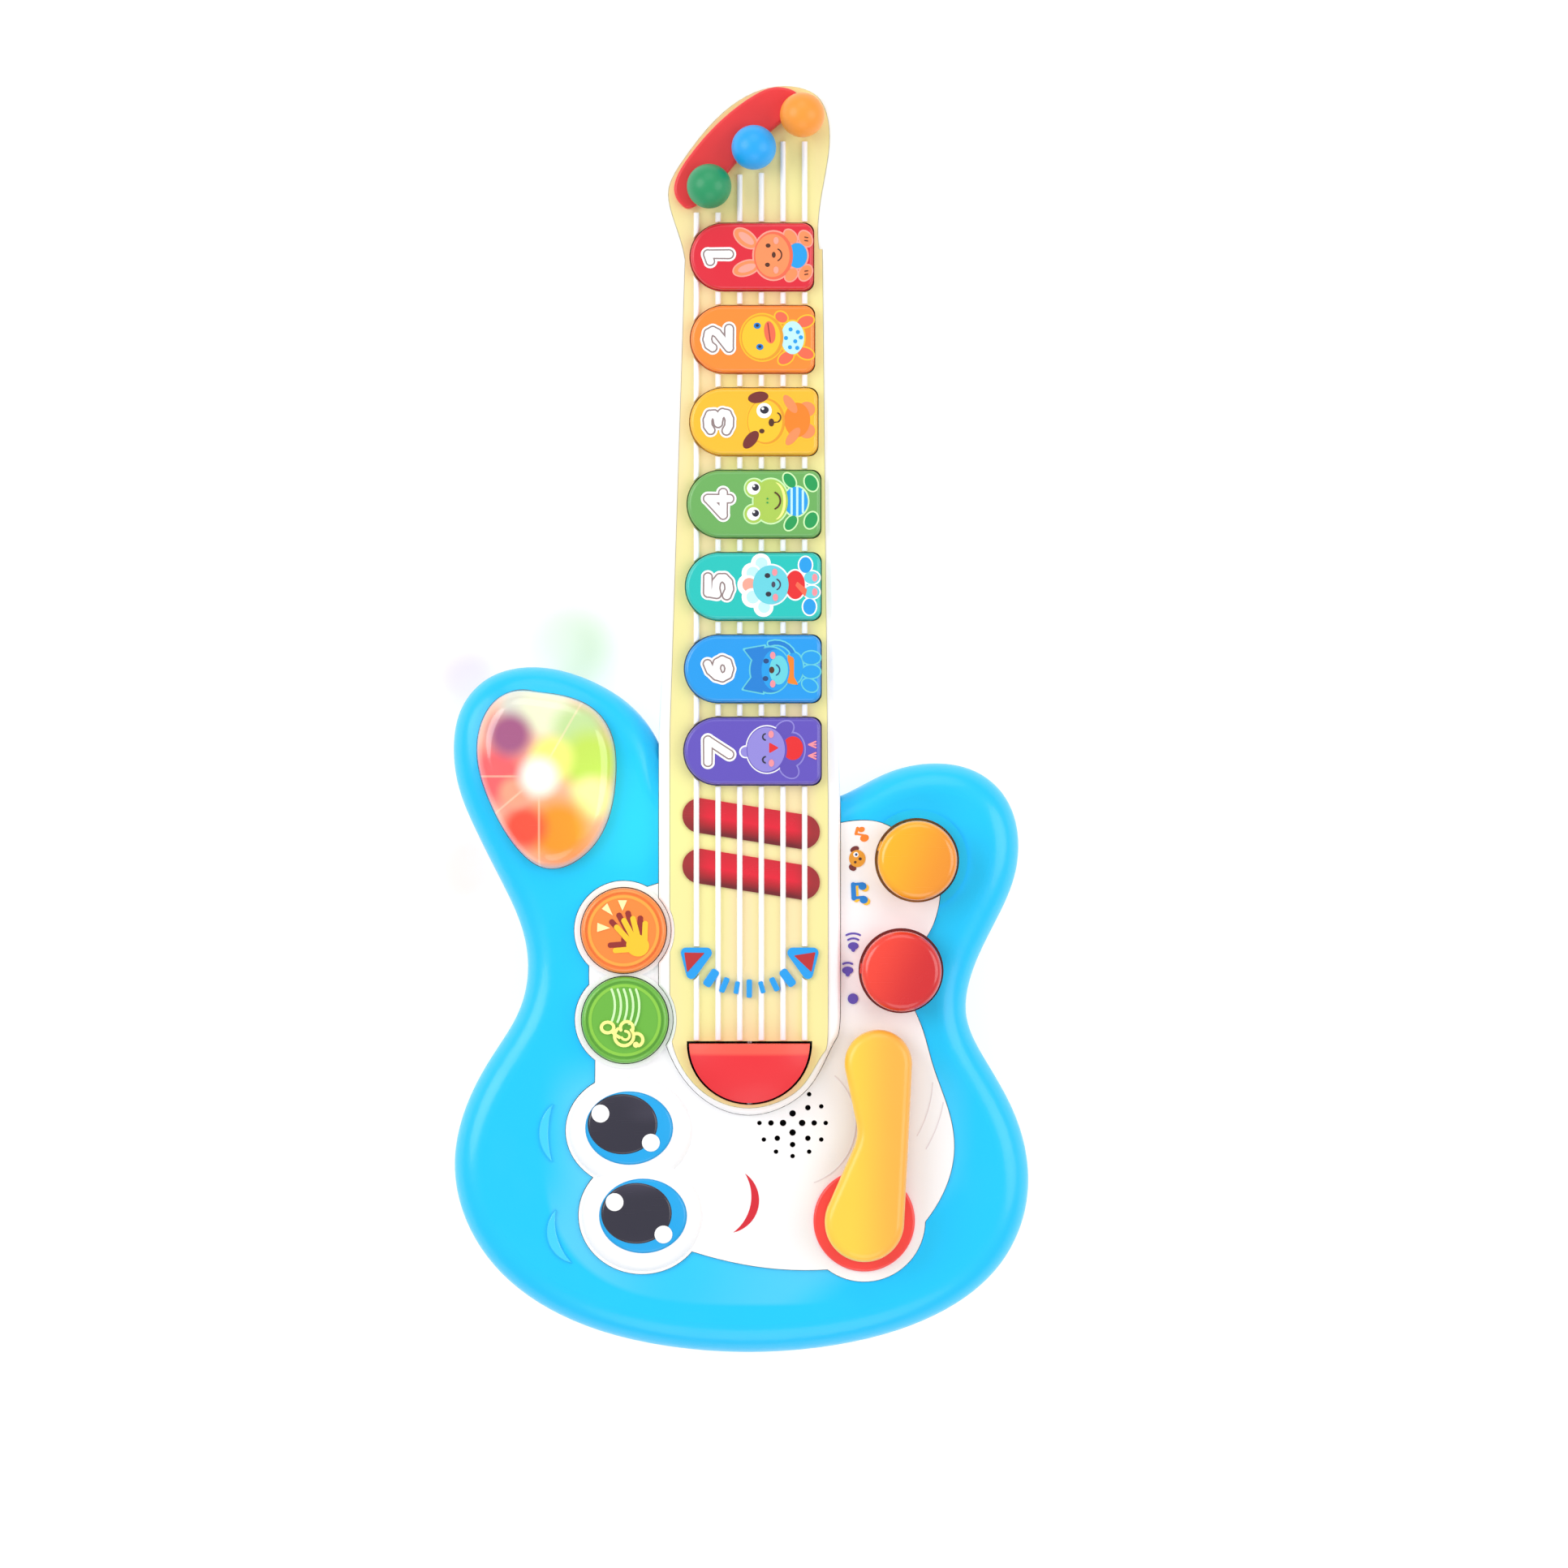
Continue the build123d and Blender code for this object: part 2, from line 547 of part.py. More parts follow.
def neck_shell_back():
    full = slab(neck_face(), NECK_BACK_Z, NECK_SEAM_Z - SEAM / 2)
    full = fillet(bottom_edges(full), NECK_BACK_R)
    full -= slab(closed_spline(BODY_OUTLINE, SEAM), 0, 60)
    hollow = slab(neck_face(-WALL), NECK_BACK_Z + WALL, NECK_SEAM_Z + 1)
    hollow -= slab(closed_spline(BODY_OUTLINE, SEAM + WALL), 0, 60)
    shell = full - hollow
    x0, x1 = TONGUE_X
    y0, y1 = TONGUE_Y
    z0, z1 = TONGUE_Z
    tongue = block(x0, x1, y0, y1, z0, z1)
    channel = block(x0 + WALL, x1 - WALL, y0 - 1, y1 + 8, z0 + WALL, z1 + 5)
    shell = shell + tongue - channel
    mid = ((x0 + x1) / 2, y0 + 4)
    shell += rod(*mid, POST_R - 0.5, z0, z0 + 6)
    shell -= rod(*mid, SCREW_R + FIT, z0 - 1, z0 + 5)
    for px, py in NECK_POSTS:
        shell += rod(px, py, NECK_POST_R + 1.4, NECK_BACK_Z + 1, NECK_SEAM_Z - SEAM / 2)
        shell -= rod(px, py, HEAD_R, 0, NECK_BACK_Z + 6)
        shell -= rod(px, py, SCREW_R - 0.2 + FIT, 0, NECK_SEAM_Z + 1)
    for y in (-8.0, 40.0, 90.0, 140.0):
        shell += rod(NECK_X + 2, y, 2.5, NECK_BACK_Z + 1, NECK_BOARD_Z)
    return shell


def fretboard():
    return slab(panel_face(), PANEL_Z, PANEL_TOP) - moving_windows()


def strings(pickups_solid):
    """Moulded string ribs, broken where the keys and badges are."""
    flat = STRING_TOP - PANEL_TOP - STRING_W / 2
    profile = Pos(0, flat / 2) * Rectangle(STRING_W, flat) + Pos(0, flat) * Circle(STRING_W / 2)
    profile = profile & Pos(0, 5) * Rectangle(10, 10)
    ribs = None
    for i, y_end in enumerate(STRING_ENDS):
        x = STRING_X0 + STRING_PITCH * i
        plane = Plane((x, STRING_START_Y, PANEL_TOP), x_dir=(-1, 0, 0), z_dir=(0, 1, 0))
        rib = extrude(plane * profile, y_end - STRING_START_Y)
        ribs = rib if ribs is None else ribs + rib
    for i in range(KEY_COUNT):
        ribs -= slab(key_face(i, CAP_GAP + 0.3), 30, 60)
    for points in BADGES:
        ribs -= slab(badge_face(points, 0.4), 30, 60)
    return ribs - pickups_solid


def pickups():
    pads = None
    for y in PICKUP_Y:
        pad = Pos(NECK_X + 0.5, y) * Rot(0, 0, PICKUP_TILT) * SlotOverall(PICKUP_L, PICKUP_W)
        pad = slab(pad, PANEL_TOP, PICKUP_TOP)
        pads = pad if pads is None else pads + pad
    return pads


def badge_face(points, grow=0.0):
    """Rounded triangle that points to one side."""
    face = fillet(make_face(Polyline(*points, close=True)).vertices(), 1.6)
    return offset(face, amount=grow) if grow else face


def strum_badges():
    left, right = (slab(badge_face(points), PANEL_TOP, BADGE_TOP) for points in BADGES)
    return left + right


def ball_z():
    """Height of the middle of a peg's ball."""
    return PANEL_TOP + BALL_GAP + BALL_R


def headstock_crescent():
    body = slab(closed_spline(CRESCENT), PANEL_TOP, CRESCENT_TOP)
    body = fillet(top_edges(body), 1.0)
    for x, y in PEGS.values():
        body -= Pos(x, y, ball_z()) * Sphere(BALL_R + BALL_GAP)
        body -= rod(x, y, PEG_STEM_R + 0.5, 30, ball_z())
    return body


def peg(x, y):
    """Ball on a snap-in stem."""
    body = Pos(x, y, ball_z()) * Sphere(BALL_R)
    body += rod(x, y, PEG_STEM_R, DECK_Z - 3, ball_z() - 2)
    body += rod(x, y, PEG_FLANGE_R, DECK_Z - REST_GAP - 1.6, DECK_Z - REST_GAP)
    slit = block(x - 0.5, x + 0.5, y - 6, y + 6, DECK_Z - 4, DECK_Z)
    return body - slit


def key(i):
    """Hollow key cap with two retaining tabs and a plunger."""
    y = KEY_Y0 - i * KEY_PITCH
    foot = DECK_Z - REST_GAP - KEY_TAB_T
    cap = slab(key_face(i), foot, KEY_TOP)
    cap = fillet(top_edges(cap), 1.2)
    cap -= slab(offset(key_face(i), amount=-KEY_WALL), foot - 1, KEY_TOP - 1.8)
    tab = block(*KEY_TAB_X, y - KEY_H / 2 - KEY_TAB, y + KEY_H / 2 + KEY_TAB, foot, foot + KEY_TAB_T)
    tab -= block(KEY_TAB_X[0] - 1, KEY_TAB_X[1] + 1, y - KEY_H / 2 + 1, y + KEY_H / 2 - 1, 0, 60)
    stem_z = NECK_BOARD_Z + BOARD_T + PAD_H + KEY_TRAVEL + REST_GAP
    return cap + tab + rod(NECK_X, y, STEM_R, stem_z, KEY_TOP - 1)


def button(x, y, r):
    """Round cap with a sunk ring, a flange and a plunger."""
    flange_top = PLATE_TOP - PLATE_T - REST_GAP
    cap = rod(x, y, r, flange_top - 2, BUTTON_TOP)
    cap = fillet(top_edges(cap), 1.4)
    ring = slab(disc(x, y, r * 0.9) - disc(x, y, r * 0.85), BUTTON_TOP - 0.4, BUTTON_TOP + 1)
    cap -= ring
    cap -= rod(x, y, r - WALL, flange_top - 3, BUTTON_TOP - WALL)
    flange = disc(x, y, r + BUTTON_FLANGE) - disc(x, y, r - 1)
    mid_y = sum(place[1] for place in BUTTONS.values()) / len(BUTTONS)
    side = 1 if y > mid_y else -1
    half = Pos(x, mid_y + side * (50 + REST_GAP / 2)) * Rectangle(100, 100)
    cap += slab(flange & half, flange_top - 2, flange_top)
    stem_z = MAIN_Z + BOARD_T + PAD_H + BUTTON_TRAVEL + REST_GAP
    return cap + rod(x, y, STEM_R, stem_z, BUTTON_TOP - 1)


def knob(x, y, r, angle):
    """Round knob with a pointer nib, a retaining flange and a shaft."""
    cap = rod(x, y, r, KNOB_FLANGE_Z - 2, KNOB_TOP)
    cap = fillet(top_edges(cap), 2.6)
    nib = Pos(x, y) * Rot(0, 0, angle) * (Pos(r - 0.8, 0) * Rectangle(2.4, 3.0))
    cap += slab(nib, PLATE_TOP + 0.6, KNOB_TOP - 4)
    cap -= rod(x, y, r - WALL, KNOB_FLANGE_Z - 3, KNOB_TOP - WALL - 1)
    cap += slab(disc(x, y, r + KNOB_FLANGE) - disc(x, y, r - 1), KNOB_FLANGE_Z - 2, KNOB_FLANGE_Z)
    return cap + rod(x, y, SHAFT_R, switch_top() - SHAFT_REACH, KNOB_TOP - 2)


def switch_top():
    """Top of a rotary switch on the main board."""
    return MAIN_Z + BOARD_T + SWITCH_H


def rotary_switch(x, y, z0, z1, shaft_r):
    """Rotary switch housing with a bearing bore for the shaft."""
    body = block(x - SWITCH_SIZE / 2, x + SWITCH_SIZE / 2, y - SWITCH_SIZE / 2, y + SWITCH_SIZE / 2, z0, z1)
    body = fillet(body.edges().filter_by(Axis.Z), 1.5)
    return body - rod(x, y, shaft_r + RUN_FIT, z1 - SHAFT_REACH - REST_GAP, z1 + 1)


# ---------------------------------------------------------------- whammy bar
def whammy_bar():
    px, py = BAR_PIVOT
    hub = disc(px, py, BAR_HUB_R)
    waist = disc(*BAR_WAIST, BAR_WAIST_R)
    head = disc(*BAR_HEAD, BAR_HEAD_R)
    arm = make_hull(hub.edges() + waist.edges()) + make_hull(waist.edges() + head.edges())
    arm = soften(arm, 12.0)
    body = slab(arm, BAR_Z, BAR_TOP)
    body = fillet(top_edges(body), 3.0)
    body += rod(px, py, BAR_HUB_R, SEAT_TOP + REST_GAP, BAR_Z + 1)
    return body + rod(px, py, BAR_POST_R, 23.0 - SHAFT_REACH, BAR_Z + 1)


def whammy_clip():
    px, py = BAR_PIVOT
    top = BODY_H - WALL - SEAM
    ring = disc(px, py, BAR_POST_R + 3) - disc(px, py, BAR_POST_R + FIT)
    gap = Pos(px + 5, py) * Rectangle(10, 4)
    return slab(ring - gap, top - 1.2, top)


def whammy_seat():
    px, py = BAR_PIVOT
    ring = slab(disc(px, py, SEAT_R) - disc(px, py, BAR_POST_R + 1), PLATE_TOP, SEAT_TOP)
    return fillet(top_edges(ring).sort_by(SortBy.LENGTH)[-1], 0.8)


# ---------------------------------------------------------------- strum rocker
def strum_rocker():
    x, y, a, b = ROCKER
    crown = Pos(x, y - 2.5, PIN_Z + 4) * scale(Sphere(1.0), by=(a * 1.2, b * 1.15, ROCKER_TOP - PIN_Z - 4))
    body = slab(rocker_face(), PIN_Z + 4, ROCKER_TOP) & crown
    body += slab(rocker_face(), ROCKER_SKIRT_Z, PIN_Z + 5)
    body += block(x - 4, x + 4, y - b + 1.2, y - 0.4, PIN_Z - 2.2, ROCKER_SKIRT_Z + 1)
    return body - rod_y(x, y - b - 1, y + 1, PIN_Z, PIN_R + RUN_FIT)


def rocker_pin():
    y_far = NECK_U_Y - NECK_U_DEPTH + 1.0 + SEAM
    return rod_y(NECK_X, y_far, ROCKER[1] + ROCKER_GAP + 2.4, PIN_Z, PIN_R)


# ---------------------------------------------------------------- light dome
def light_lens():
    dome = slab(closed_spline(LENS_OUTLINE), LENS_FLANGE_Z + 1, LENS_TOP)
    dome = fillet(top_edges(dome), LENS_EDGE_R)
    inner = closed_spline(LENS_OUTLINE, -LENS_T)
    hollow = slab(inner, LENS_FLANGE_Z - 1, LENS_TOP - LENS_T)
    hollow = fillet(top_edges(hollow), LENS_EDGE_R - LENS_T)
    dome += slab(closed_spline(LENS_OUTLINE, LENS_FLANGE), LENS_FLANGE_Z, LENS_FLANGE_Z + 1.8)
    return dome - hollow


def light_points():
    """Places of the lamps: one in the middle and a ring round it."""
    ring = [(LIGHT_X + LED_RING_R * cos(radians(a)), LIGHT_Y + LED_RING_R * sin(radians(a)))
            for a in range(0, 360, 360 // LED_COUNT)]
    return [(LIGHT_X, LIGHT_Y)] + ring


def light_reflector():
    """White tray under the lens, with a thin wall between the colours."""
    base = LENS_FLANGE_Z - SEAM
    tray = slab(closed_spline(LENS_OUTLINE, -LENS_T - 0.4), base - 4, base)
    tray -= slab(closed_spline(LENS_OUTLINE, -LENS_T - 2.0), base - 2.4, base + 1)
    fence = None
    for i in range(LED_COUNT):
        turn = Rot(0, 0, 360 / LED_COUNT * (i + 0.5))
        rib = Pos(LIGHT_X, LIGHT_Y, base + 0.8) * turn * (Pos(17, 0, 0) * Box(26, 1.0, 6.4))
        fence = rib if fence is None else fence + rib
    tray += fence & slab(closed_spline(LENS_OUTLINE, -LENS_T - 0.6), 0, 60)
    for x, y in light_points():
        tray -= rod(x, y, LED_R + 0.3, 0, base)
    return tray


def led_board():
    return slab(disc(LIGHT_X, LIGHT_Y, LED_RING_R + 5), LED_BOARD_Z, LED_BOARD_Z + BOARD_T)


def leds():
    base = LED_BOARD_Z + BOARD_T
    group = None
    for x, y in light_points():
        led = rod(x, y, LED_R, base, base + 3.2) + Pos(x, y, base + 3.2) * Sphere(LED_R - 0.05)
        group = led if group is None else group + led
    return group


# ---------------------------------------------------------------- speaker
def speaker_frame():
    x, y = GRILLE
    rim = rod(x, y, SPEAKER_R, SPEAKER_TOP - 1.6, SPEAKER_TOP) - rod(x, y, SPEAKER_R - 2.5, 0, 60)
    z0 = SPEAKER_TOP - 8
    cone = Pos(x, y, z0 + 3.2) * (Cone(10.5, SPEAKER_R - 1, 6.4) - Cone(9.3, SPEAKER_R - 2.2, 6.4))
    return rim + cone + (rod(x, y, 10.5, z0 - 1.2, z0) - rod(x, y, 5.2, 0, 60))


def speaker_cone():
    x, y = GRILLE
    z0 = SPEAKER_TOP - 5.4
    paper = Pos(x, y, z0 + 2.3) * (Cone(5.5, SPEAKER_R - 3.2, 4.6) - Cone(4.7, SPEAKER_R - 4.0, 4.6))
    cap = Pos(x, y, z0 - 1.4) * Sphere(6.2) & block(x - 9, x + 9, y - 9, y + 9, z0, z0 + 9)
    coil = rod(x, y, 4.9, z0 - 5.0, z0 + 0.4) - rod(x, y, 4.3, z0 - 6, z0)
    return paper + cap + coil


def speaker_magnet():
    x, y = GRILLE
    top = SPEAKER_TOP - 9.2 - 0.1
    return rod(x, y, 10.0, top - 5.0, top) - (rod(x, y, 5.2, top - 3.6, 60) - rod(x, y, 4.0, 0, top))


# ---------------------------------------------------------------- electronics
def main_board():
    x0, x1, y0, y1 = MAIN_BOX
    board = block(x0, x1, y0, y1, MAIN_Z, MAIN_Z + BOARD_T)
    for px, py in BOARD_POSTS:
        board += rod(px, py, 4.5, MAIN_Z, MAIN_Z + BOARD_T)
        board -= rod(px, py, SCREW_R + 0.3, 0, 60)
    for px, py in ROOT_POSTS:
        board -= rod(px, py, POST_R + 0.8, 0, 60)
    return board


def board_chips():
    top = MAIN_Z + BOARD_T
    parts = block(-22, -8, -82, -68, top, top + 2.2) + block(14, 20, -70, -60, top, top + 1.6)
    for x, y, r, h in ((28, -60, 3.2, 9), (28, -70, 3.2, 9), (-14, -58, 2.5, 7)):
        parts += rod(x, y, r, top, top + h)
    parts += block(-4, 10, -46, -41, top, top + 4) + block(8, 18, CONNECTOR_Y, CONNECTOR_Y + 5, top, top + 5)
    parts += block(30, 42, CONNECTOR_Y, CONNECTOR_Y + 5, top, top + 5)
    return parts


def board_screws():
    group = None
    for px, py in BOARD_POSTS:
        head = rod(px, py, HEAD_R, MAIN_Z + BOARD_T, MAIN_Z + BOARD_T + HEAD_T)
        one = head + rod(px, py, SCREW_R, MAIN_Z - 6, MAIN_Z + BOARD_T)
        group = one if group is None else group + one
    return group


def button_domes():
    top = MAIN_Z + BOARD_T
    group = None
    for x, y, _ in BUTTONS.values():
        one = Pos(x, y, top + PAD_H / 2) * Cone(5.0, 3.4, PAD_H)
        group = one if group is None else group + one
    return group


def neck_board():
    x0, x1, y0, y1 = NECK_BOARD_BOX
    board = block(x0, x1, y0, y1, NECK_BOARD_Z, NECK_BOARD_Z + BOARD_T)
    return board


def key_membrane():
    """Rubber sheet with one raised contact under each key."""
    x0, x1, y0, y1 = NECK_BOARD_BOX
    top = NECK_BOARD_Z + BOARD_T
    sheet = block(x0 + 2, x1 - 2, y0 + 2, y1 - 2, top, top + 0.8)
    for i in range(KEY_COUNT):
        sheet += Pos(NECK_X, KEY_Y0 - i * KEY_PITCH, top + PAD_H / 2) * Cone(5.5, 3.6, PAD_H)
    return sheet


# ---------------------------------------------------------------- wires
def lead(points, radii, r):
    """Round wire along straight runs joined by arcs."""
    path = FilletPolyline(*points, radius=radii)
    tangent = path % 0
    tube = sweep(Plane(path @ 0, z_dir=tangent) * Circle(r), path=path)
    print("lead", round(tube.volume / (3.14159265 * r * r * path.length), 4))
    return tube


def neck_ribbon():
    """Flat cable from the neck board, through the neck's tongue, to the main board."""
    z = NECK_BOARD_Z - 0.6
    path = FilletPolyline((NECK_X, -12.0, z), (NECK_X, -17.5, z), (NECK_X, -24.0, 18.4),
                          (NECK_X, -32.0, 18.4), (NECK_X, -38.0, 21.5), (NECK_X, -42.0, 21.5),
                          radius=1.6)
    tangent = path % 0
    section = Plane(path @ 0, x_dir=(1, 0, 0), z_dir=tangent) * Rectangle(12.0, 0.8)
    return sweep(section, path=path)


def battery_leads():
    z = MAIN_Z + BOARD_T + LEAD_LIFT
    y0 = CONNECTOR_Y - 0.2
    y1 = BAY_Y + bay_size()[1] + BAY_WALL + 0.3
    first = lead([(15, y0, z), (15, -106, z), (-8, -118, z), (-8, y1, z)], 5.0, 0.8)
    second = lead([(11, y0, z), (11, -104, z), (-12, -116, z), (-12, y1, z)], 5.0, 0.8)
    return first + second


def speaker_leads():
    z = MAIN_Z + BOARD_T + LEAD_LIFT
    y0 = CONNECTOR_Y - 0.2
    first = lead([(33, y0, z), (33, -104, z), (29.5, -110, z + 2), (27, -113.6, z + 4.0)], 2.5, 0.7)
    second = lead([(38, y0, z), (38, -107, z), (33, -114, z + 3), (30.4, -116.2, z + 5.0)], 2.5, 0.7)
    return first + second


# ---------------------------------------------------------------- battery bay
def battery_box():
    half_l, half_w, roof = bay_size()
    outer = block(-half_l - BAY_WALL, half_l + BAY_WALL, BAY_Y - half_w - BAY_WALL, BAY_Y + half_w + BAY_WALL,
                  WALL, roof + BAY_WALL)
    box = outer - block(-half_l, half_l, BAY_Y - half_w, BAY_Y + half_w, 0, roof)
    box += rod(DOOR_SCREW_X, BAY_Y, POST_R, WALL + 0.1, 12) + block(
        DOOR_SCREW_X, -half_l - 0.5, BAY_Y - 1.2, BAY_Y + 1.2, WALL + 0.1, 12)
    box -= rod(DOOR_SCREW_X, BAY_Y, SCREW_R + FIT, 0, 10)
    box += block(-half_l - 1, half_l + 1, BAY_Y - half_w - 5, BAY_Y - half_w, WALL, WALL + 1.6)
    box += block(-half_l - 1, half_l + 1, BAY_Y + half_w, BAY_Y + half_w + 5, WALL, WALL + 1.6)
    return box


def batteries():
    half = (CELL_L + NUB_L) / 2
    group = None
    for y, way in ((BAY_Y + CELL_R + 0.4, 1), (BAY_Y - CELL_R - 0.4, -1)):
        can = rod_x(-half, half - NUB_L, y, CELL_Z, CELL_R)
        can = fillet(can.edges(), 0.8)
        cell = can + rod_x(half - NUB_L - 1, half, y, CELL_Z, NUB_R)
        if way < 0:
            cell = mirror(cell, about=Plane.YZ)
        group = cell if group is None else group + cell
    return group


def battery_contacts():
    half_l = bay_size()[0]
    half = (CELL_L + NUB_L) / 2
    group = None
    for y in (BAY_Y + CELL_R + 0.4, BAY_Y - CELL_R - 0.4):
        for side in (1, -1):
            x = side * (half_l - CONTACT_T / 2 - 0.1)
            plate = Pos(x, y, CELL_Z) * Box(CONTACT_T, 11, 11)
            reach = half_l - CONTACT_T - half - 0.25
            cup = Pos(side * (half + 0.2 + reach / 2), y, CELL_Z) * Rot(0, 90, 0) * Cylinder(3.2, reach)
            one = plate + cup
            group = one if group is None else group + one
    return group


def battery_door():
    x0, x1, y0, y1 = door_span()
    door = block(x0, x1, y0, y1, 0, WALL - 0.1)
    door = fillet(door.edges().filter_by(Axis.Z), 2.0)
    for i in range(5):
        y = BAY_Y - 8 + 4 * i
        door -= block(x1 - 12, x1 - 4, y - 0.6, y + 0.6, -1, 0.6)
    door -= rod(DOOR_SCREW_X, BAY_Y, HEAD_R + 0.2, -1, 1.4)
    return door - rod(DOOR_SCREW_X, BAY_Y, SCREW_R + FIT, -1, 5)


def battery_door_screw():
    head = rod(DOOR_SCREW_X, BAY_Y, HEAD_R, 0.1, 1.4)
    return head + rod(DOOR_SCREW_X, BAY_Y, SCREW_R, 1, 9)


# ---------------------------------------------------------------- screws
def body_screws():
    group = None
    for px, py in BODY_POSTS + ROOT_POSTS:
        one = screw(px, py, SUNK_Z, BODY_H - 8)
        group = one if group is None else group + one
    return group


def neck_screws():
    group = screw((TONGUE_X[0] + TONGUE_X[1]) / 2, TONGUE_Y[0] + 4, 6.0, TONGUE_Z[0] + 4)
    for px, py in NECK_POSTS:
        group += screw(px, py, NECK_BACK_Z + 6, DECK_Z - 3, HEAD_R - 0.3, SCREW_R - 0.2)
    return group


# ---------------------------------------------------------------- assembly
def main():
    os.makedirs("parts", exist_ok=True)
    front, front_hollow, back, back_hollow = body_solids()
    save("body_shell_front", body_shell_front(front, front_hollow))
    save("body_shell_back", body_shell_back(back, back_hollow))
    save("face_plate", face_plate())
    save("neck_shell_front", neck_shell_front())
    save("neck_shell_back", neck_shell_back())
    save("fretboard", fretboard())
    pads = pickups()
    save("pickups", pads)
    save("strings", strings(pads))
    save("strum_badges", strum_badges())
    save("headstock_crescent", headstock_crescent())
    for name, place in PEGS.items():
        save(name, peg(*place))
    for i in range(KEY_COUNT):
        save(f"key_{i + 1}", key(i))
    for name, size in BUTTONS.items():
        save(name, button(*size))
    for name, size in KNOBS.items():
        save(name, knob(*size))
        x, y = size[:2]
        switch = rotary_switch(x, y, MAIN_Z + BOARD_T, switch_top(), SHAFT_R)
        save(name.replace("knob", "switch"), switch)
    save("whammy_bar", whammy_bar())
    save("whammy_clip", whammy_clip())
    save("whammy_seat", whammy_seat())
    save("whammy_switch", rotary_switch(*BAR_PIVOT, 17.0, 23.0, BAR_POST_R))
    save("strum_rocker", strum_rocker())
    save("rocker_pin", rocker_pin())
    save("light_lens", light_lens())
    save("light_reflector", light_reflector())
    save("led_board", led_board())
    save("leds", leds())
    save("speaker_frame", speaker_frame())
    save("speaker_cone", speaker_cone())
    save("speaker_magnet", speaker_magnet())
    save("main_board", main_board())
    save("board_chips", board_chips())
    save("board_screws", board_screws())
    save("button_domes", button_domes())
    save("neck_board", neck_board())
    save("key_membrane", key_membrane())
    save("neck_ribbon", neck_ribbon())
    save("battery_leads", battery_leads())
    save("speaker_leads", speaker_leads())
    save("battery_box", battery_box())
    save("batteries", batteries())
    save("battery_contacts", battery_contacts())
    save("battery_door", battery_door())
    save("battery_door_screw", battery_door_screw())
    save("body_screws", body_screws())
    save("neck_screws", neck_screws())


main()
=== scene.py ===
"""Looks of a toy electric guitar that lies face up on a pale studio floor.

The moulded parts come from the CAD frame and get their finishes here. The
printed pictures, the eyes, the smile and the dial marks are added pieces.
Lengths are in millimetres and are turned into metres as each piece is placed.
"""
import logging
import math
from collections.abc import Callable
from dataclasses import dataclass, field
from enum import Enum

import bmesh
import bpy
from mathutils import Matrix, Vector


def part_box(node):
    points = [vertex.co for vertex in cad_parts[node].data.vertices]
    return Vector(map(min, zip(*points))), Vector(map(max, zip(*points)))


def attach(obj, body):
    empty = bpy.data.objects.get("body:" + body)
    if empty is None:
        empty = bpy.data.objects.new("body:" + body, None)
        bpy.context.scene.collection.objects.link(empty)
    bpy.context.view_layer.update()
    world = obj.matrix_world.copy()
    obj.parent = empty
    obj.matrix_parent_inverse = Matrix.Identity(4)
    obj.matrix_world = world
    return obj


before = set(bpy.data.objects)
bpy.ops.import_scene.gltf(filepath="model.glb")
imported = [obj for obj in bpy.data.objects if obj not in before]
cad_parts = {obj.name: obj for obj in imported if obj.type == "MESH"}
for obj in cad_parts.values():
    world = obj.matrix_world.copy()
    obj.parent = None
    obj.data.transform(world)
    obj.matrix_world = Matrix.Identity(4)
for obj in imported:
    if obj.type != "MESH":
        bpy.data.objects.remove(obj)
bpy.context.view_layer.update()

MM = 0.001
LOG = logging.getLogger("guitar")
Point = tuple[float, float]
Colour = tuple[int, int, int]
Socket = bpy.types.NodeSocket


class Ink(Enum):
    """Printing inks, and one painted groove shade, as red, green and blue from 0 to 255."""

    WHITE = (255, 255, 255)
    CREAM = (255, 240, 176)
    LEMON = (252, 250, 150)
    BLUSH = (252, 168, 150)
    PINK = (255, 150, 160)
    PEACH = (255, 146, 92)
    CORAL = (244, 108, 78)
    ORANGE = (250, 134, 36)
    SUN = (255, 200, 44)
    AMBER = (236, 160, 40)
    BROWN = (118, 44, 42)
    UMBER = (84, 46, 30)
    RED = (232, 40, 44)
    SMILE = (214, 32, 50)
    MAROON = (150, 44, 40)
    GARNET = (188, 42, 48)
    LIME = (172, 206, 84)
    GREEN = (30, 158, 84)
    MINT = (214, 250, 190)
    RING_ORANGE = (255, 168, 66)
    RING_GREEN = (140, 206, 70)
    AQUA = (104, 212, 226)
    PALE_AQUA = (196, 240, 246)
    SKY = (30, 160, 236)
    AZURE = (24, 128, 214)
    IRIS = (14, 168, 236)
    NAVY = (36, 74, 130)
    LILAC = (148, 138, 220)
    PURPLE = (96, 78, 184)
    NIGHT = (44, 42, 58)
    SLATE = (70, 70, 92)
    # Painted shade for the grooves in the face plate, not a printing ink.
    GROOVE_SHADE = (234, 226, 230)
    BAND = (150, 130, 130)


def linear(colour: Colour) -> tuple[float, float, float, float]:
    """Turns a screen colour into the linear values that shaders use.

    Args:
        colour: red, green and blue from 0 to 255.

    Returns:
        Linear red, green, blue and an alpha of 1.
    """
    parts = [value / 255 for value in colour]
    shade = [v / 12.92 if v <= 0.04045 else ((v + 0.055) / 1.055) ** 2.4 for v in parts]
    return (shade[0], shade[1], shade[2], 1.0)


def middle(node: str) -> Vector:
    """Middle of a CAD node's box, in millimetres."""
    low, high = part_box(node)
    return (low + high) / 2 / MM


def top_of(node: str) -> float:
    """Height of a CAD node's highest point, in millimetres."""
    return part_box(node)[1].z / MM


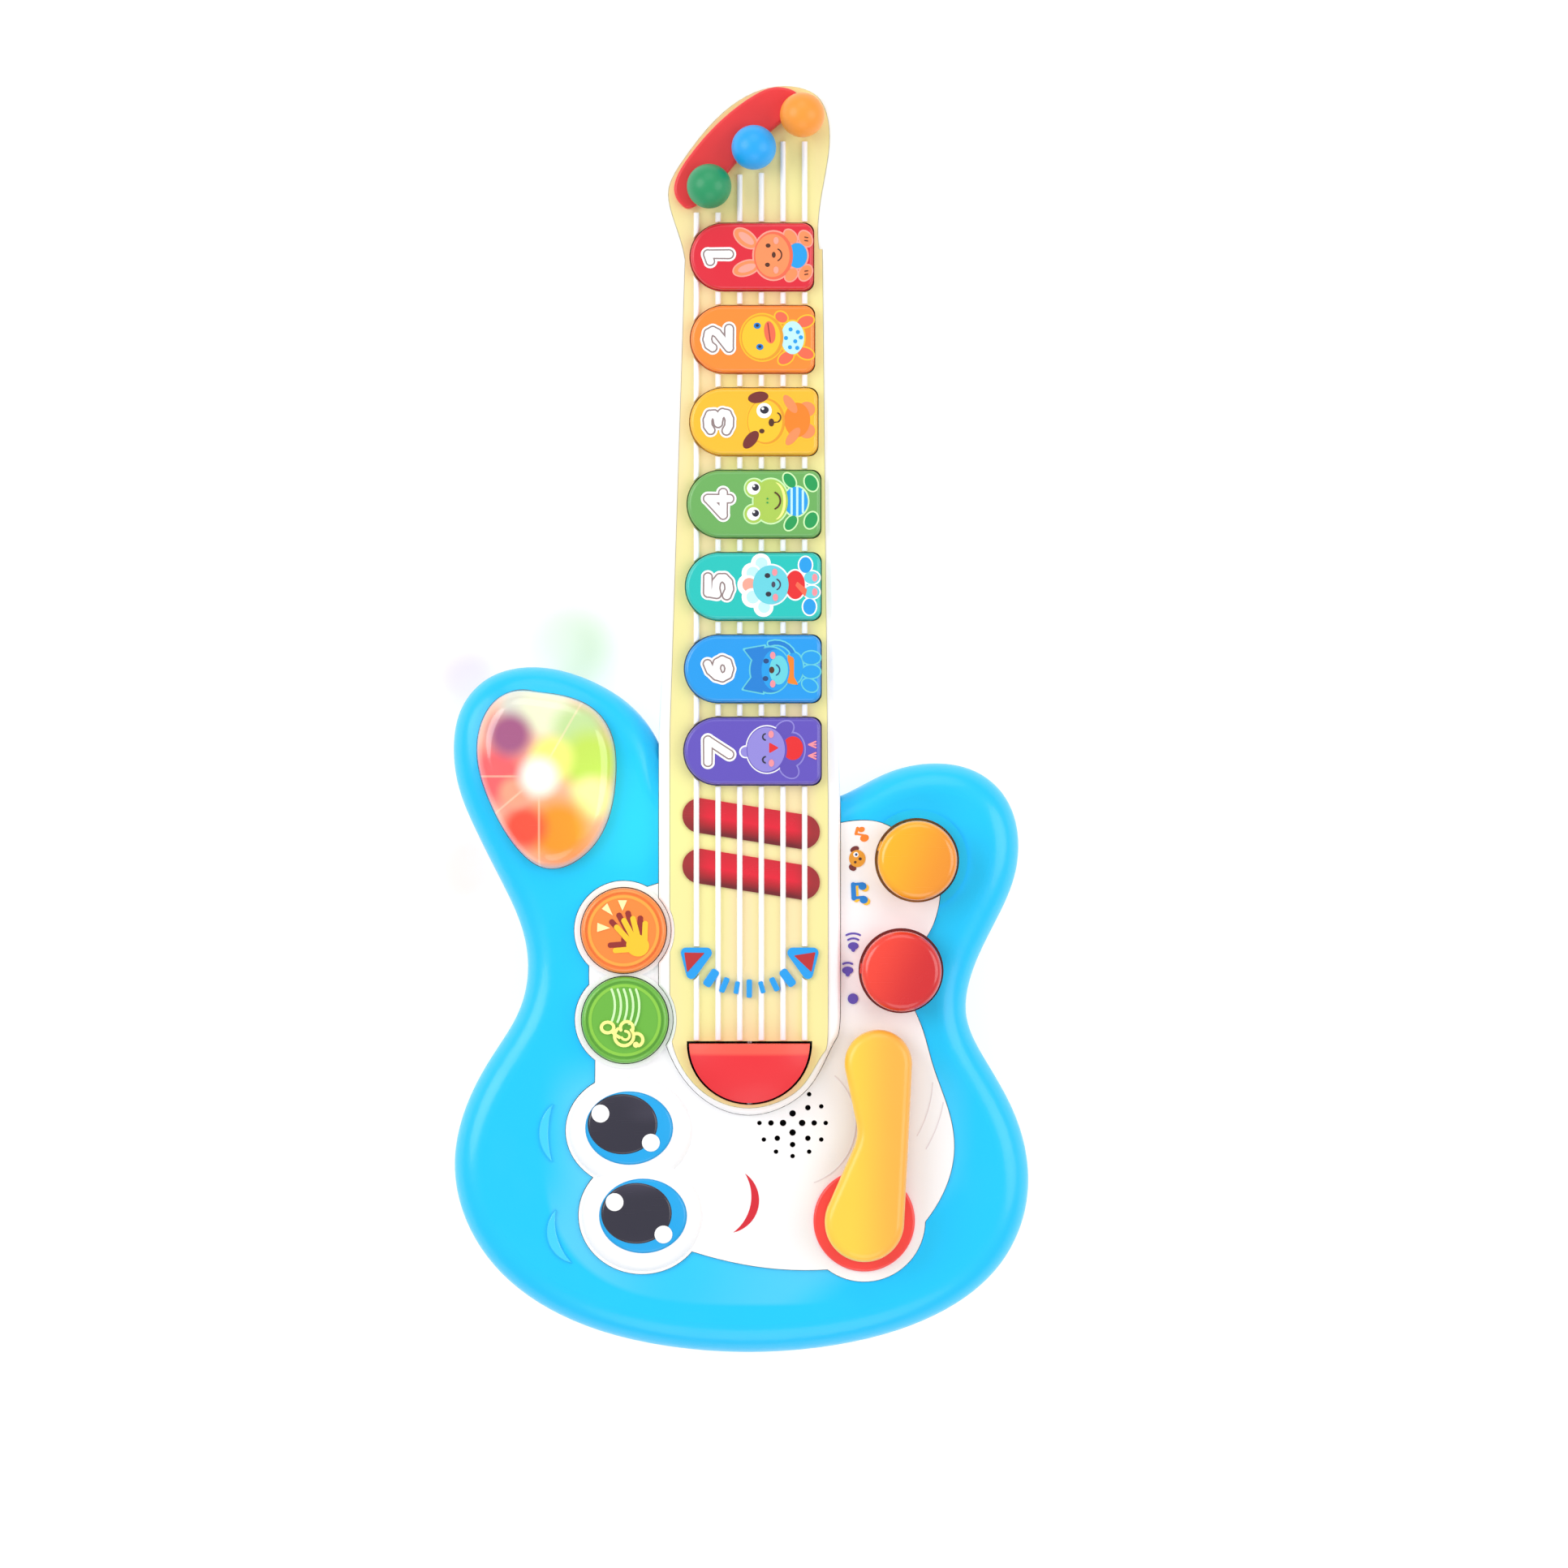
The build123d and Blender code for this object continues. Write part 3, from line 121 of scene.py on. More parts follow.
# ------------------------------------------------------------------ shader nodes
@dataclass
class Kit:
    """Short ways to add nodes to one shader tree."""

    tree: bpy.types.NodeTree

    def add(self, kind: str, **inputs: object) -> bpy.types.Node:
        """Adds one node. An input's name has _ for each space."""
        node = self.tree.nodes.new(kind)
        for name, value in inputs.items():
            self.feed(node.inputs[name.replace("_", " ")], value)
        return node

    def feed(self, socket: Socket, value: object) -> None:
        """Links a socket, or sets its value."""
        if isinstance(value, bpy.types.NodeSocket):
            self.tree.links.new(value, socket)
        else:
            socket.default_value = value

    def math(self, kind: str, a: object, b: object = 0.0) -> Socket:
        """Arithmetic on two values."""
        node = self.add("ShaderNodeMath")
        node.operation = kind
        self.feed(node.inputs[0], a)
        self.feed(node.inputs[1], b)
        return node.outputs[0]

    def object_place(self) -> Socket:
        """Place on the object, in metres."""
        return self.add("ShaderNodeTexCoord").outputs["Object"]

    def noise(self, where: Socket, scale: float, detail: float) -> Socket:
        """Noise of a given fineness."""
        return self.add("ShaderNodeTexNoise", Scale=scale, Detail=detail, Vector=where).outputs["Fac"]

    def mapping(self, where: Socket, scale: tuple = (1, 1, 1), turn: tuple = (0, 0, 0),
                shift: tuple = (0, 0, 0)) -> Socket:
        """Moves, turns and stretches a place."""
        node = self.add("ShaderNodeMapping", Scale=scale, Rotation=turn, Location=shift, Vector=where)
        return node.outputs["Vector"]

    def length(self, where: Socket) -> Socket:
        """Distance of a place from the middle."""
        node = self.add("ShaderNodeVectorMath")
        node.operation = "LENGTH"
        self.tree.links.new(where, node.inputs[0])
        return node.outputs["Value"]

    def split(self, where: Socket) -> tuple[Socket, Socket, Socket]:
        """X, Y and Z of a place."""
        node = self.add("ShaderNodeSeparateXYZ", Vector=where)
        return node.outputs["X"], node.outputs["Y"], node.outputs["Z"]

    def step(self, value: Socket, low: float, high: float) -> Socket:
        """Smooth step from 0 at low to 1 at high."""
        flip = float(low > high)
        node = self.add("ShaderNodeMapRange", From_Min=min(low, high), From_Max=max(low, high), To_Min=flip,
                        To_Max=1.0 - flip, Value=value)
        node.interpolation_type = "SMOOTHSTEP"
        return node.outputs["Result"]

    def mix(self, factor: object, a: object, b: object, kind: str = "MIX") -> Socket:
        """Mixes two colours."""
        node = self.add("ShaderNodeMix")
        node.data_type = "RGBA"
        node.blend_type = kind
        self.feed(node.inputs[0], factor)
        self.feed(node.inputs[6], a)
        self.feed(node.inputs[7], b)
        return node.outputs[2]

    def ramp(self, value: Socket, stops: list[tuple[float, Colour]]) -> Socket:
        """Colour ramp with stops from 0 to 1."""
        node = self.add("ShaderNodeValToRGB", Fac=value)
        marks = node.color_ramp.elements
        while len(marks) < len(stops):
            marks.new(0.5)
        for mark, (place, colour) in zip(marks, stops):
            mark.position = place
            mark.color = linear(colour)
        return node.outputs["Color"]


class MouldedSurface:
    """Shared shader group: shade drift, rubbed patches, fine scratches, orange peel and grain."""

    _tree: bpy.types.ShaderNodeTree | None = None

    @classmethod
    def group(cls) -> bpy.types.ShaderNodeTree:
        """Makes the group once and hands it out.

        Returns:
            A group that puts out a colour, a roughness and a height.
        """
        if cls._tree:
            return cls._tree
        tree = bpy.data.node_groups.new("moulded_surface", "ShaderNodeTree")
        face = tree.interface
        face.new_socket("Color", in_out="INPUT", socket_type="NodeSocketColor")
        for name, value in (("Roughness", 0.3), ("Drift", 0.06), ("Rub", 0.08), ("Grain", 1.0)):
            face.new_socket(name, in_out="INPUT", socket_type="NodeSocketFloat").default_value = value
        for name, kind in (("Color", "Color"), ("Roughness", "Float"), ("Height", "Float")):
            face.new_socket(name, in_out="OUTPUT", socket_type=f"NodeSocket{kind}")
        kit = Kit(tree)
        given = kit.add("NodeGroupInput").outputs
        spot = kit.object_place()
        drift = kit.math("SUBTRACT", kit.noise(spot, 22.0, 3.0), 0.5)
        level = kit.math("ADD", kit.math("MULTIPLY", drift, given["Drift"]), 1.0)
        shade = kit.mix(1.0, given["Color"], level, "MULTIPLY")
        streaks = kit.noise(kit.mapping(spot, (60.0, 2600.0, 60.0), (0.0, 0.0, 0.5)), 1.0, 2.0)
        scratch = kit.step(streaks, 0.66, 0.74)
        rubbed = kit.step(kit.noise(spot, 70.0, 4.0), 0.45, 0.75)
        rough = kit.math("ADD", kit.math("MULTIPLY", rubbed, given["Rub"]), given["Roughness"])
        rough = kit.math("ADD", rough, kit.math("MULTIPLY", scratch, 0.10))
        fine = kit.math("MULTIPLY", kit.noise(spot, 5200.0, 1.0), 0.25)
        height = kit.math("ADD", kit.noise(spot, 900.0, 2.0), fine)
        height = kit.math("SUBTRACT", height, kit.math("MULTIPLY", scratch, 0.5))
        height = kit.math("MULTIPLY", height, given["Grain"])
        kit.add("NodeGroupOutput", Color=shade, Roughness=rough, Height=height)
        cls._tree = tree
        return tree


# ------------------------------------------------------------------ finishes
@dataclass(frozen=True)
class Finish:
    """A moulded, printed or metal finish.

    Attributes:
        name: name of its material.
        colour: its colour, as red, green and blue from 0 to 255.
        roughness: how dull it is, from 0 to 1.
        coat: weight of its clear gloss.
        drift: how much its shade varies.
        rub: how much duller its rubbed patches are.
        grain: strength of its surface grain.
        metal: 1 for metal.
        glow: strength of the light it gives.
        depth: weight of the light that passes under its skin.
    """

    name: str
    colour: Colour
    roughness: float = 0.28
    coat: float = 0.35
    drift: float = 0.06
    rub: float = 0.08
    grain: float = 1.0
    metal: float = 0.0
    glow: float = 0.0
    depth: float = 0.0

    def pattern(self, kit: Kit) -> Socket | None:
        """Pattern of its colour, or None where it is plain."""
        return None

    def build(self) -> bpy.types.Material:
        """Makes the material, or finds it if it is already there.

        Returns:
            The material.
        """
        name = f"finish_{self.name}"
        found = bpy.data.materials.get(name)
        if found:
            return found
        material = bpy.data.materials.new(name)
        material.use_nodes = True
        tree = material.node_tree
        shader = tree.nodes["Principled BSDF"]
        kit = Kit(tree)
        surface = kit.add("ShaderNodeGroup")
        surface.node_tree = MouldedSurface.group()
        given = {"Roughness": self.roughness, "Drift": self.drift, "Rub": self.rub, "Grain": self.grain,
                 "Color": self.pattern(kit) or linear(self.colour)}
        for socket, value in given.items():
            kit.feed(surface.inputs[socket], value)
        shown = surface.outputs
        bump = kit.add("ShaderNodeBump", Strength=0.35, Distance=0.03 * MM, Height=shown["Height"])
        looks = {"Base Color": shown["Color"], "Roughness": shown["Roughness"],
                 "Normal": bump.outputs["Normal"], "Metallic": self.metal, "Coat Weight": self.coat,
                 "Coat Roughness": 0.08}
        if self.depth:
            looks |= {"Subsurface Weight": self.depth, "Subsurface Radius": (1.0, 0.8, 0.6),
                      "Subsurface Scale": 2 * MM}
        if self.glow:
            looks |= {"Emission Strength": self.glow, "Emission Color": shown["Color"]}
        for socket, value in looks.items():
            kit.feed(shader.inputs[socket], value)
        return material


@dataclass(frozen=True)
class ShadedFinish(Finish):
    """Colour that fades along a line to a second one: painted shade and highlight, standing in for how light
    falls across the moulding.
    """

    second: Colour = (0, 0, 0)
    start: Point = (0.0, 0.0)
    end: Point = (0.0, 1.0)

    def pattern(self, kit: Kit) -> Socket | None:
        """Fade from the first colour at start to the second at end, as painted shade."""
        x, y, _ = kit.split(kit.object_place())
        along = Vector(self.end) - Vector(self.start)
        size = along.length_squared * MM
        right = kit.math("MULTIPLY", kit.math("SUBTRACT", x, self.start[0] * MM), along.x / size)
        up = kit.math("MULTIPLY", kit.math("SUBTRACT", y, self.start[1] * MM), along.y / size)
        share = kit.step(kit.math("ADD", right, up), 0.0, 1.0)
        return kit.mix(share, linear(self.colour), linear(self.second))


@dataclass(frozen=True)
class PickupFinish(Finish):
    """Red that darkens to the lower edge and the ends of each slanted pad."""

    tilt: float = math.radians(9.0)
    pitch: float = 15.3

    def pattern(self, kit: Kit) -> Socket | None:
        """Red from bright to dark across each pad."""
        centre = middle("pickups")
        x, y, _ = kit.split(kit.object_place())
        x = kit.math("SUBTRACT", x, centre.x * MM)
        lean = kit.math("MULTIPLY", x, math.tan(self.tilt))
        across = kit.math("SUBTRACT", kit.math("ADD", y, lean), centre.y * MM)
        across = kit.math("FRACT", kit.math("ADD", kit.math("DIVIDE", across, self.pitch * MM), 2.0))
        ends = kit.step(kit.math("ABSOLUTE", x), 12.0 * MM, 19.5 * MM)
        bands = kit.ramp(across, [(0.2, (112, 20, 30)), (0.36, (186, 22, 38)), (0.5, (228, 22, 50)),
                                  (0.8, (208, 26, 46))])
        return kit.mix(kit.math("MULTIPLY", ends, 0.8), bands, linear((138, 40, 42)))


@dataclass(frozen=True)
class DomeFinish(Finish):
    """Light dome: soft patches of coloured lamp light round a white heart, and thin ribs."""

    heart: Point = (-61.0, -17.6)

    def pattern(self, kit: Kit) -> Socket | None:
        """Lamp light that shows through the dome."""
        spot = kit.object_place()
        colour: object = linear((244, 176, 150))
        patches = [
            (-74.0, -17.0, 13.0, (240, 96, 100)), (-66.5, 4.0, 10.0, (214, 214, 200)),
            (-58.5, 2.0, 12.0, (232, 236, 200)), (-69.8, -5.0, 9.5, (160, 84, 128)),
            (-49.0, -3.5, 11.0, (190, 218, 150)), (-45.5, -13.0, 13.0, (190, 218, 84)),
            (-45.0, -24.0, 9.0, (244, 232, 160)), (-55.0, -34.0, 14.0, (255, 142, 20)),
            (-65.5, -33.0, 9.5, (250, 74, 50)), (-68.5, -22.5, 6.5, (248, 158, 128)),
            (-57.0, -12.0, 9.0, (236, 240, 120)),
        ]
        for x, y, radius, shade in patches:
            away = kit.length(kit.mapping(spot, (1, 1, 0), shift=(-x * MM, -y * MM, 0)))
            colour = kit.mix(kit.step(away, radius * MM, radius * 0.35 * MM), colour, linear(shade))
        moved = kit.mapping(spot, (1, 1, 0), shift=(-self.heart[0] * MM, -self.heart[1] * MM, 0))
        away = kit.length(moved)
        for turn in (-90, -140, 180, 60):
            along, side, _ = kit.split(kit.mapping(moved, turn=(0, 0, math.radians(-turn))))
            thin = kit.step(kit.math("ABSOLUTE", side), 0.5 * MM, 0.1 * MM)
            rib = kit.math("MULTIPLY", thin, kit.step(along, 5 * MM, 9 * MM))
            colour = kit.mix(kit.math("MULTIPLY", rib, 0.4), colour, linear((255, 222, 190)))
        halo = kit.step(away, 8.5 * MM, 2.2 * MM)
        return kit.mix(halo, colour, linear((255, 255, 246)))


@dataclass(frozen=True)
class BodyFinish(Finish):
    """Bright blue moulding with a paler shallow dish round the face plate: the paler blue is painted sheen
    standing in for the light on the dish's shape.
    """

    painted_sheen_colour: Colour = (96, 208, 246)
    dish: tuple[float, float, float, float] = (5.0, -125.0, 65.0, 53.0)

    def pattern(self, kit: Kit) -> Socket | None:
        """Blue with painted paler sheen over the dish, fading out towards the buttons."""
        x0, y0, a, b = self.dish
        spot = kit.object_place()
        moved = kit.mapping(spot, (1000 / a, 1000 / b, 0), shift=(-x0 / a, -y0 / b, 0))
        x, y, _ = kit.split(moved)
        right = kit.math("POWER", kit.math("ABSOLUTE", x), 3.0)
        up = kit.math("POWER", kit.math("ABSOLUTE", y), 3.0)
        total = kit.math("ADD", right, up)
        crisp = kit.math("MULTIPLY", kit.step(total, 1.04, 0.94), kit.step(y, -0.2, -0.6))
        faint = kit.math("MULTIPLY", kit.step(total, 1.1, 0.45), kit.step(y, -0.6, -0.2))
        corner = kit.step(kit.math("SUBTRACT", x, y), 1.35, 1.05)
        inside = kit.math("MULTIPLY", kit.math("ADD", crisp, faint), corner)
        below = kit.step(y, 0.5, 0.1)
        wide = kit.noise(kit.mapping(spot, (14.0, 8.0, 1.0)), 1.0, 1.0)
        share = kit.math("MULTIPLY", kit.math("MULTIPLY", inside, below), kit.step(wide, 0.15, 0.7))
        # Mixes the painted sheen colour into the blue over the dish.
        return kit.mix(share, linear(self.colour), linear(self.painted_sheen_colour))


@dataclass(frozen=True)
class PanelFinish(Finish):
    """Cream panel whose shade varies in long soft strips."""

    second: Colour = (246, 226, 172)

    def pattern(self, kit: Kit) -> Socket | None:
        """Cream with warmer strips."""
        strips = kit.noise(kit.mapping(kit.object_place(), (90.0, 6.0, 1.0)), 1.0, 1.0)
        return kit.mix(kit.step(strips, 0.4, 0.7), linear(self.colour), linear(self.second))


@dataclass(frozen=True)
class BoardFinish(Finish):
    """Circuit board lacquer with printed tracks under it."""

    def pattern(self, kit: Kit) -> Socket | None:
        """Green lacquer with paler tracks."""
        lacquer = linear(self.colour)
        node = kit.add("ShaderNodeTexBrick", Scale=160.0, Mortar_Size=0.03, Color1=lacquer, Color2=lacquer,
                       Mortar=linear((60, 150, 84)), Vector=kit.object_place())
        return node.outputs["Color"]


def ink_finish(ink: Ink) -> Finish:
    """Finish of a printed ink."""
    return Finish(f"ink_{ink.name.lower()}", ink.value, roughness=0.36, coat=0.15, drift=0.05, grain=0.4)


# ------------------------------------------------------------------ mesh helpers
def finished(bm: bmesh.types.BMesh, name: str, finishes: list[Finish], body: str,
             smooth: bool = False) -> bpy.types.Object:
    """Turns a bmesh into a dressed piece that rides on a body.

    Args:
        bm: the shape, in millimetres, in its final place.
        name: the piece's name.
        finishes: one finish for each material index.
        body: the CAD body it moves with.
        smooth: shades the faces smoothly.

    Returns:
        The new object.
    """
    bmesh.ops.scale(bm, verts=bm.verts, vec=(MM, MM, MM))
    mesh = bpy.data.meshes.new(name)
    bm.to_mesh(mesh)
    bm.free()
    for finish in finishes:
        mesh.materials.append(finish.build())
    for face in mesh.polygons:
        face.use_smooth = smooth
    piece = bpy.data.objects.new(name, mesh)
    bpy.context.collection.objects.link(piece)
    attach(piece, body)
    LOG.info("%s on %s, %d faces", name, body, len(mesh.polygons))
    return piece


def join(into: bmesh.types.BMesh, part: bmesh.types.BMesh) -> None:
    """Adds one shape to another and frees it."""
    mesh = bpy.data.meshes.new("joined")
    part.to_mesh(mesh)
    part.free()
    into.from_mesh(mesh)
    bpy.data.meshes.remove(mesh)


def put(shape: bmesh.types.BMesh, x: float, y: float, turn: float = 0.0, a: float = 1.0,
        b: float = 1.0) -> None:
    """Stretches a shape, turns it by degrees and moves it, on the flat."""
    place = (Matrix.Translation((x, y, 0)) @ Matrix.Rotation(math.radians(turn), 4, "Z")
             @ Matrix.Diagonal((a, b, 1, 1)))
    bmesh.ops.transform(shape, matrix=place, verts=shape.verts)


def put_between(shape: bmesh.types.BMesh, start: Point, end: Point) -> None:
    """Moves a shape that lies along X to the middle between two points, and turns it to them."""
    along = Vector(end) - Vector(start)
    mid = (Vector(start) + Vector(end)) / 2
    put(shape, mid.x, mid.y, math.degrees(math.atan2(along.y, along.x)))


def round_corners(shape: bmesh.types.BMesh, corners: list[bmesh.types.BMVert], radius: float,
                  steps: int) -> None:
    """Rounds corners of a flat face."""
    bmesh.ops.bevel(shape, geom=corners, offset=radius, offset_type="OFFSET", segments=steps,
                    profile=0.5, affect="VERTICES", material=-1)


def new_verts(made: dict) -> list[bmesh.types.BMVert]:
    """Vertices among what an operator made."""
    return [part for part in made["geom"] if isinstance(part, bmesh.types.BMVert)]


def raise_flat(shape: bmesh.types.BMesh, low: float, high: float, soften: float = 0.0) -> None:
    """Turns a flat face into a closed slab.

    Args:
        shape: a bmesh with flat faces at height 0.
        low: height of its underside.
        high: height of its top.
        soften: rounding of its top edge.
    """
    made = bmesh.ops.extrude_face_region(shape, geom=list(shape.faces))
    tops = new_verts(made)
    bmesh.ops.translate(shape, verts=tops, vec=(0, 0, high - low))
    if soften:
        chosen = set(tops)
        rim = [e for e in shape.edges if e.verts[0] in chosen and e.verts[1] in chosen
               and any(v not in chosen for f in e.link_faces for v in f.verts)]
        bmesh.ops.bevel(shape, geom=rim, offset=soften, offset_type="OFFSET", segments=4,
                        profile=0.5, affect="EDGES", material=-1, clamp_overlap=True)
    bmesh.ops.translate(shape, verts=shape.verts, vec=(0, 0, low))
    bmesh.ops.recalc_face_normals(shape, faces=shape.faces)


def arc_points(start: Point, through: Point, end: Point, steps: int = 12) -> list[Point]:
    """Points along the circle arc through three points.

    Args:
        start: first point.
        through: a point on the way.
        end: last point.
        steps: number of spans.

    Returns:
        The points, with both ends.
    """
    a, b, c = (complex(*p) for p in (start, through, end))
    turn = (c - a) / (b - a)
    centre = (b - a) * (turn - abs(turn) ** 2) / (2j * turn.imag) + a
    first = a - centre
    sweep = math.atan2(((c - centre) / first).imag, ((c - centre) / first).real)
    half = math.atan2(((b - centre) / first).imag, ((b - centre) / first).real)
    if half * sweep < 0 or abs(half) > abs(sweep):
        sweep -= math.copysign(2 * math.pi, sweep)
    made = []
    for i in range(steps + 1):
        angle = sweep * i / steps
        spot = centre + first * complex(math.cos(angle), math.sin(angle))
        made.append((spot.real, spot.imag))
    return made


@dataclass
class Picture:
    """A printed picture of thin flat shapes, each a little above the one before.

    Attributes:
        name: name of its piece.
        body: the CAD body it moves with.
        origin: where its middle lies, in millimetres.
        turn: its turn about the vertical, in degrees.
        base: how far its lowest shapes stand up.
        step: how much higher each later shape stands.
    """

    name: str
    body: str
    origin: tuple[float, float, float]
    turn: float = 0.0
    base: float = 0.05
    step: float = 0.012
    bm: bmesh.types.BMesh = field(default_factory=bmesh.new)
    inks: list[Ink] = field(default_factory=list)
    count: int = 0
    rims: int = 0

    def _stamp(self, shape: bmesh.types.BMesh, ink: Ink, behind: bool) -> None:
        """Raises a flat shape, gives it its ink and adds it to the picture."""
        if ink not in self.inks:
            self.inks.append(ink)
        if behind:
            self.rims += 1
            high = self.base + 0.001 * self.rims
        else:
            self.count += 1
            high = self.base + 0.05 + self.step * self.count
        raise_flat(shape, 0.0, high)
        for face in shape.faces:
            face.material_index = self.inks.index(ink)
        join(self.bm, shape)

    def blob(self, u: float, v: float, a: float, b: float, ink: Ink, turn: float = 0.0,
             rim: Ink | None = None, rim_width: float = 0.5, behind: bool = False) -> None:
        """Oval spot, with an outline behind it if asked.

        Args:
            u: middle across.
            v: middle upwards.
            a: half width.
            b: half height.
            ink: its colour.
            turn: its turn in degrees.
            rim: colour of the outline.
            rim_width: width of the outline.
            behind: puts it below every plain shape.
        """
        if rim:
            self.blob(u, v, a + rim_width, b + rim_width, rim, turn, behind=True)
        shape = bmesh.new()
        around = 40 if max(a, b) > 1.5 else 20
        bmesh.ops.create_circle(shape, cap_ends=True, segments=around, radius=1.0)
        put(shape, u, v, turn, a, b)
        self._stamp(shape, ink, behind)

    def blobs(self, *rows: tuple) -> None:
        """Oval spots in order, each given as blob takes it."""
        for row in rows:
            self.blob(*row)

    def patch(self, points: list[Point], ink: Ink, round_by: float = 0.0, behind: bool = False) -> None:
        """Flat shape with its corners at the given points, rounded if asked."""
        shape = bmesh.new()
        shape.faces.new([shape.verts.new((u, v, 0)) for u, v in points])
        if round_by:
            round_corners(shape, list(shape.verts), round_by, 5)
        self._stamp(shape, ink, behind)

    def bar(self, start: Point, end: Point, width: float, ink: Ink, rim: Ink | None = None,
            rim_width: float = 0.5, behind: bool = False) -> None:
        """Straight stroke with round ends, and an outline behind it if asked."""
        if rim:
            self.bar(start, end, width + 2 * rim_width, rim, behind=True)
        shape = bmesh.new()
        bmesh.ops.create_circle(shape, cap_ends=True, segments=20, radius=width / 2)
        along = Vector(end) - Vector(start)
        for vert in shape.verts:
            vert.co.x += math.copysign(along.length / 2, vert.co.x + 1e-6)
        put_between(shape, start, end)
        self._stamp(shape, ink, behind)

    def path(self, points: list[Point], width: float, ink: Ink, behind: bool = False) -> None:
        """Chain of strokes through the points."""
        for start, end in zip(points, points[1:]):
            self.bar(start, end, width, ink, behind=behind)

    def arc(self, u: float, v: float, radius: float, start: float, end: float, width: float, ink: Ink,
            steps: int = 10, squash: float = 1.0) -> None:
        """Curved stroke about a middle, between two angles in degrees."""
        turns = [math.radians(start + (end - start) * i / steps) for i in range(steps + 1)]
        self.path([(u + radius * math.cos(t), v + radius * squash * math.sin(t)) for t in turns], width, ink)

    def ring(self, u: float, v: float, radius: float, width: float, ink: Ink) -> None:
        """Full ring."""
        shape = bmesh.new()
        bmesh.ops.create_circle(shape, cap_ends=False, segments=72, radius=radius - width / 2)
        made = bmesh.ops.extrude_edge_only(shape, edges=list(shape.edges))
        outer = new_verts(made)
        grow = (radius + width / 2) / (radius - width / 2)
        bmesh.ops.scale(shape, verts=outer, vec=(grow, grow, 1))
        bmesh.ops.translate(shape, verts=shape.verts, vec=(u, v, 0))
        self._stamp(shape, ink, False)

    def done(self) -> bpy.types.Object:
        """Places the picture and makes the piece."""
        x, y, z = self.origin
        put(self.bm, x, y, self.turn)
        bmesh.ops.translate(self.bm, verts=self.bm.verts, vec=(0, 0, z))
        return finished(self.bm, self.name, [ink_finish(ink) for ink in self.inks], self.body)


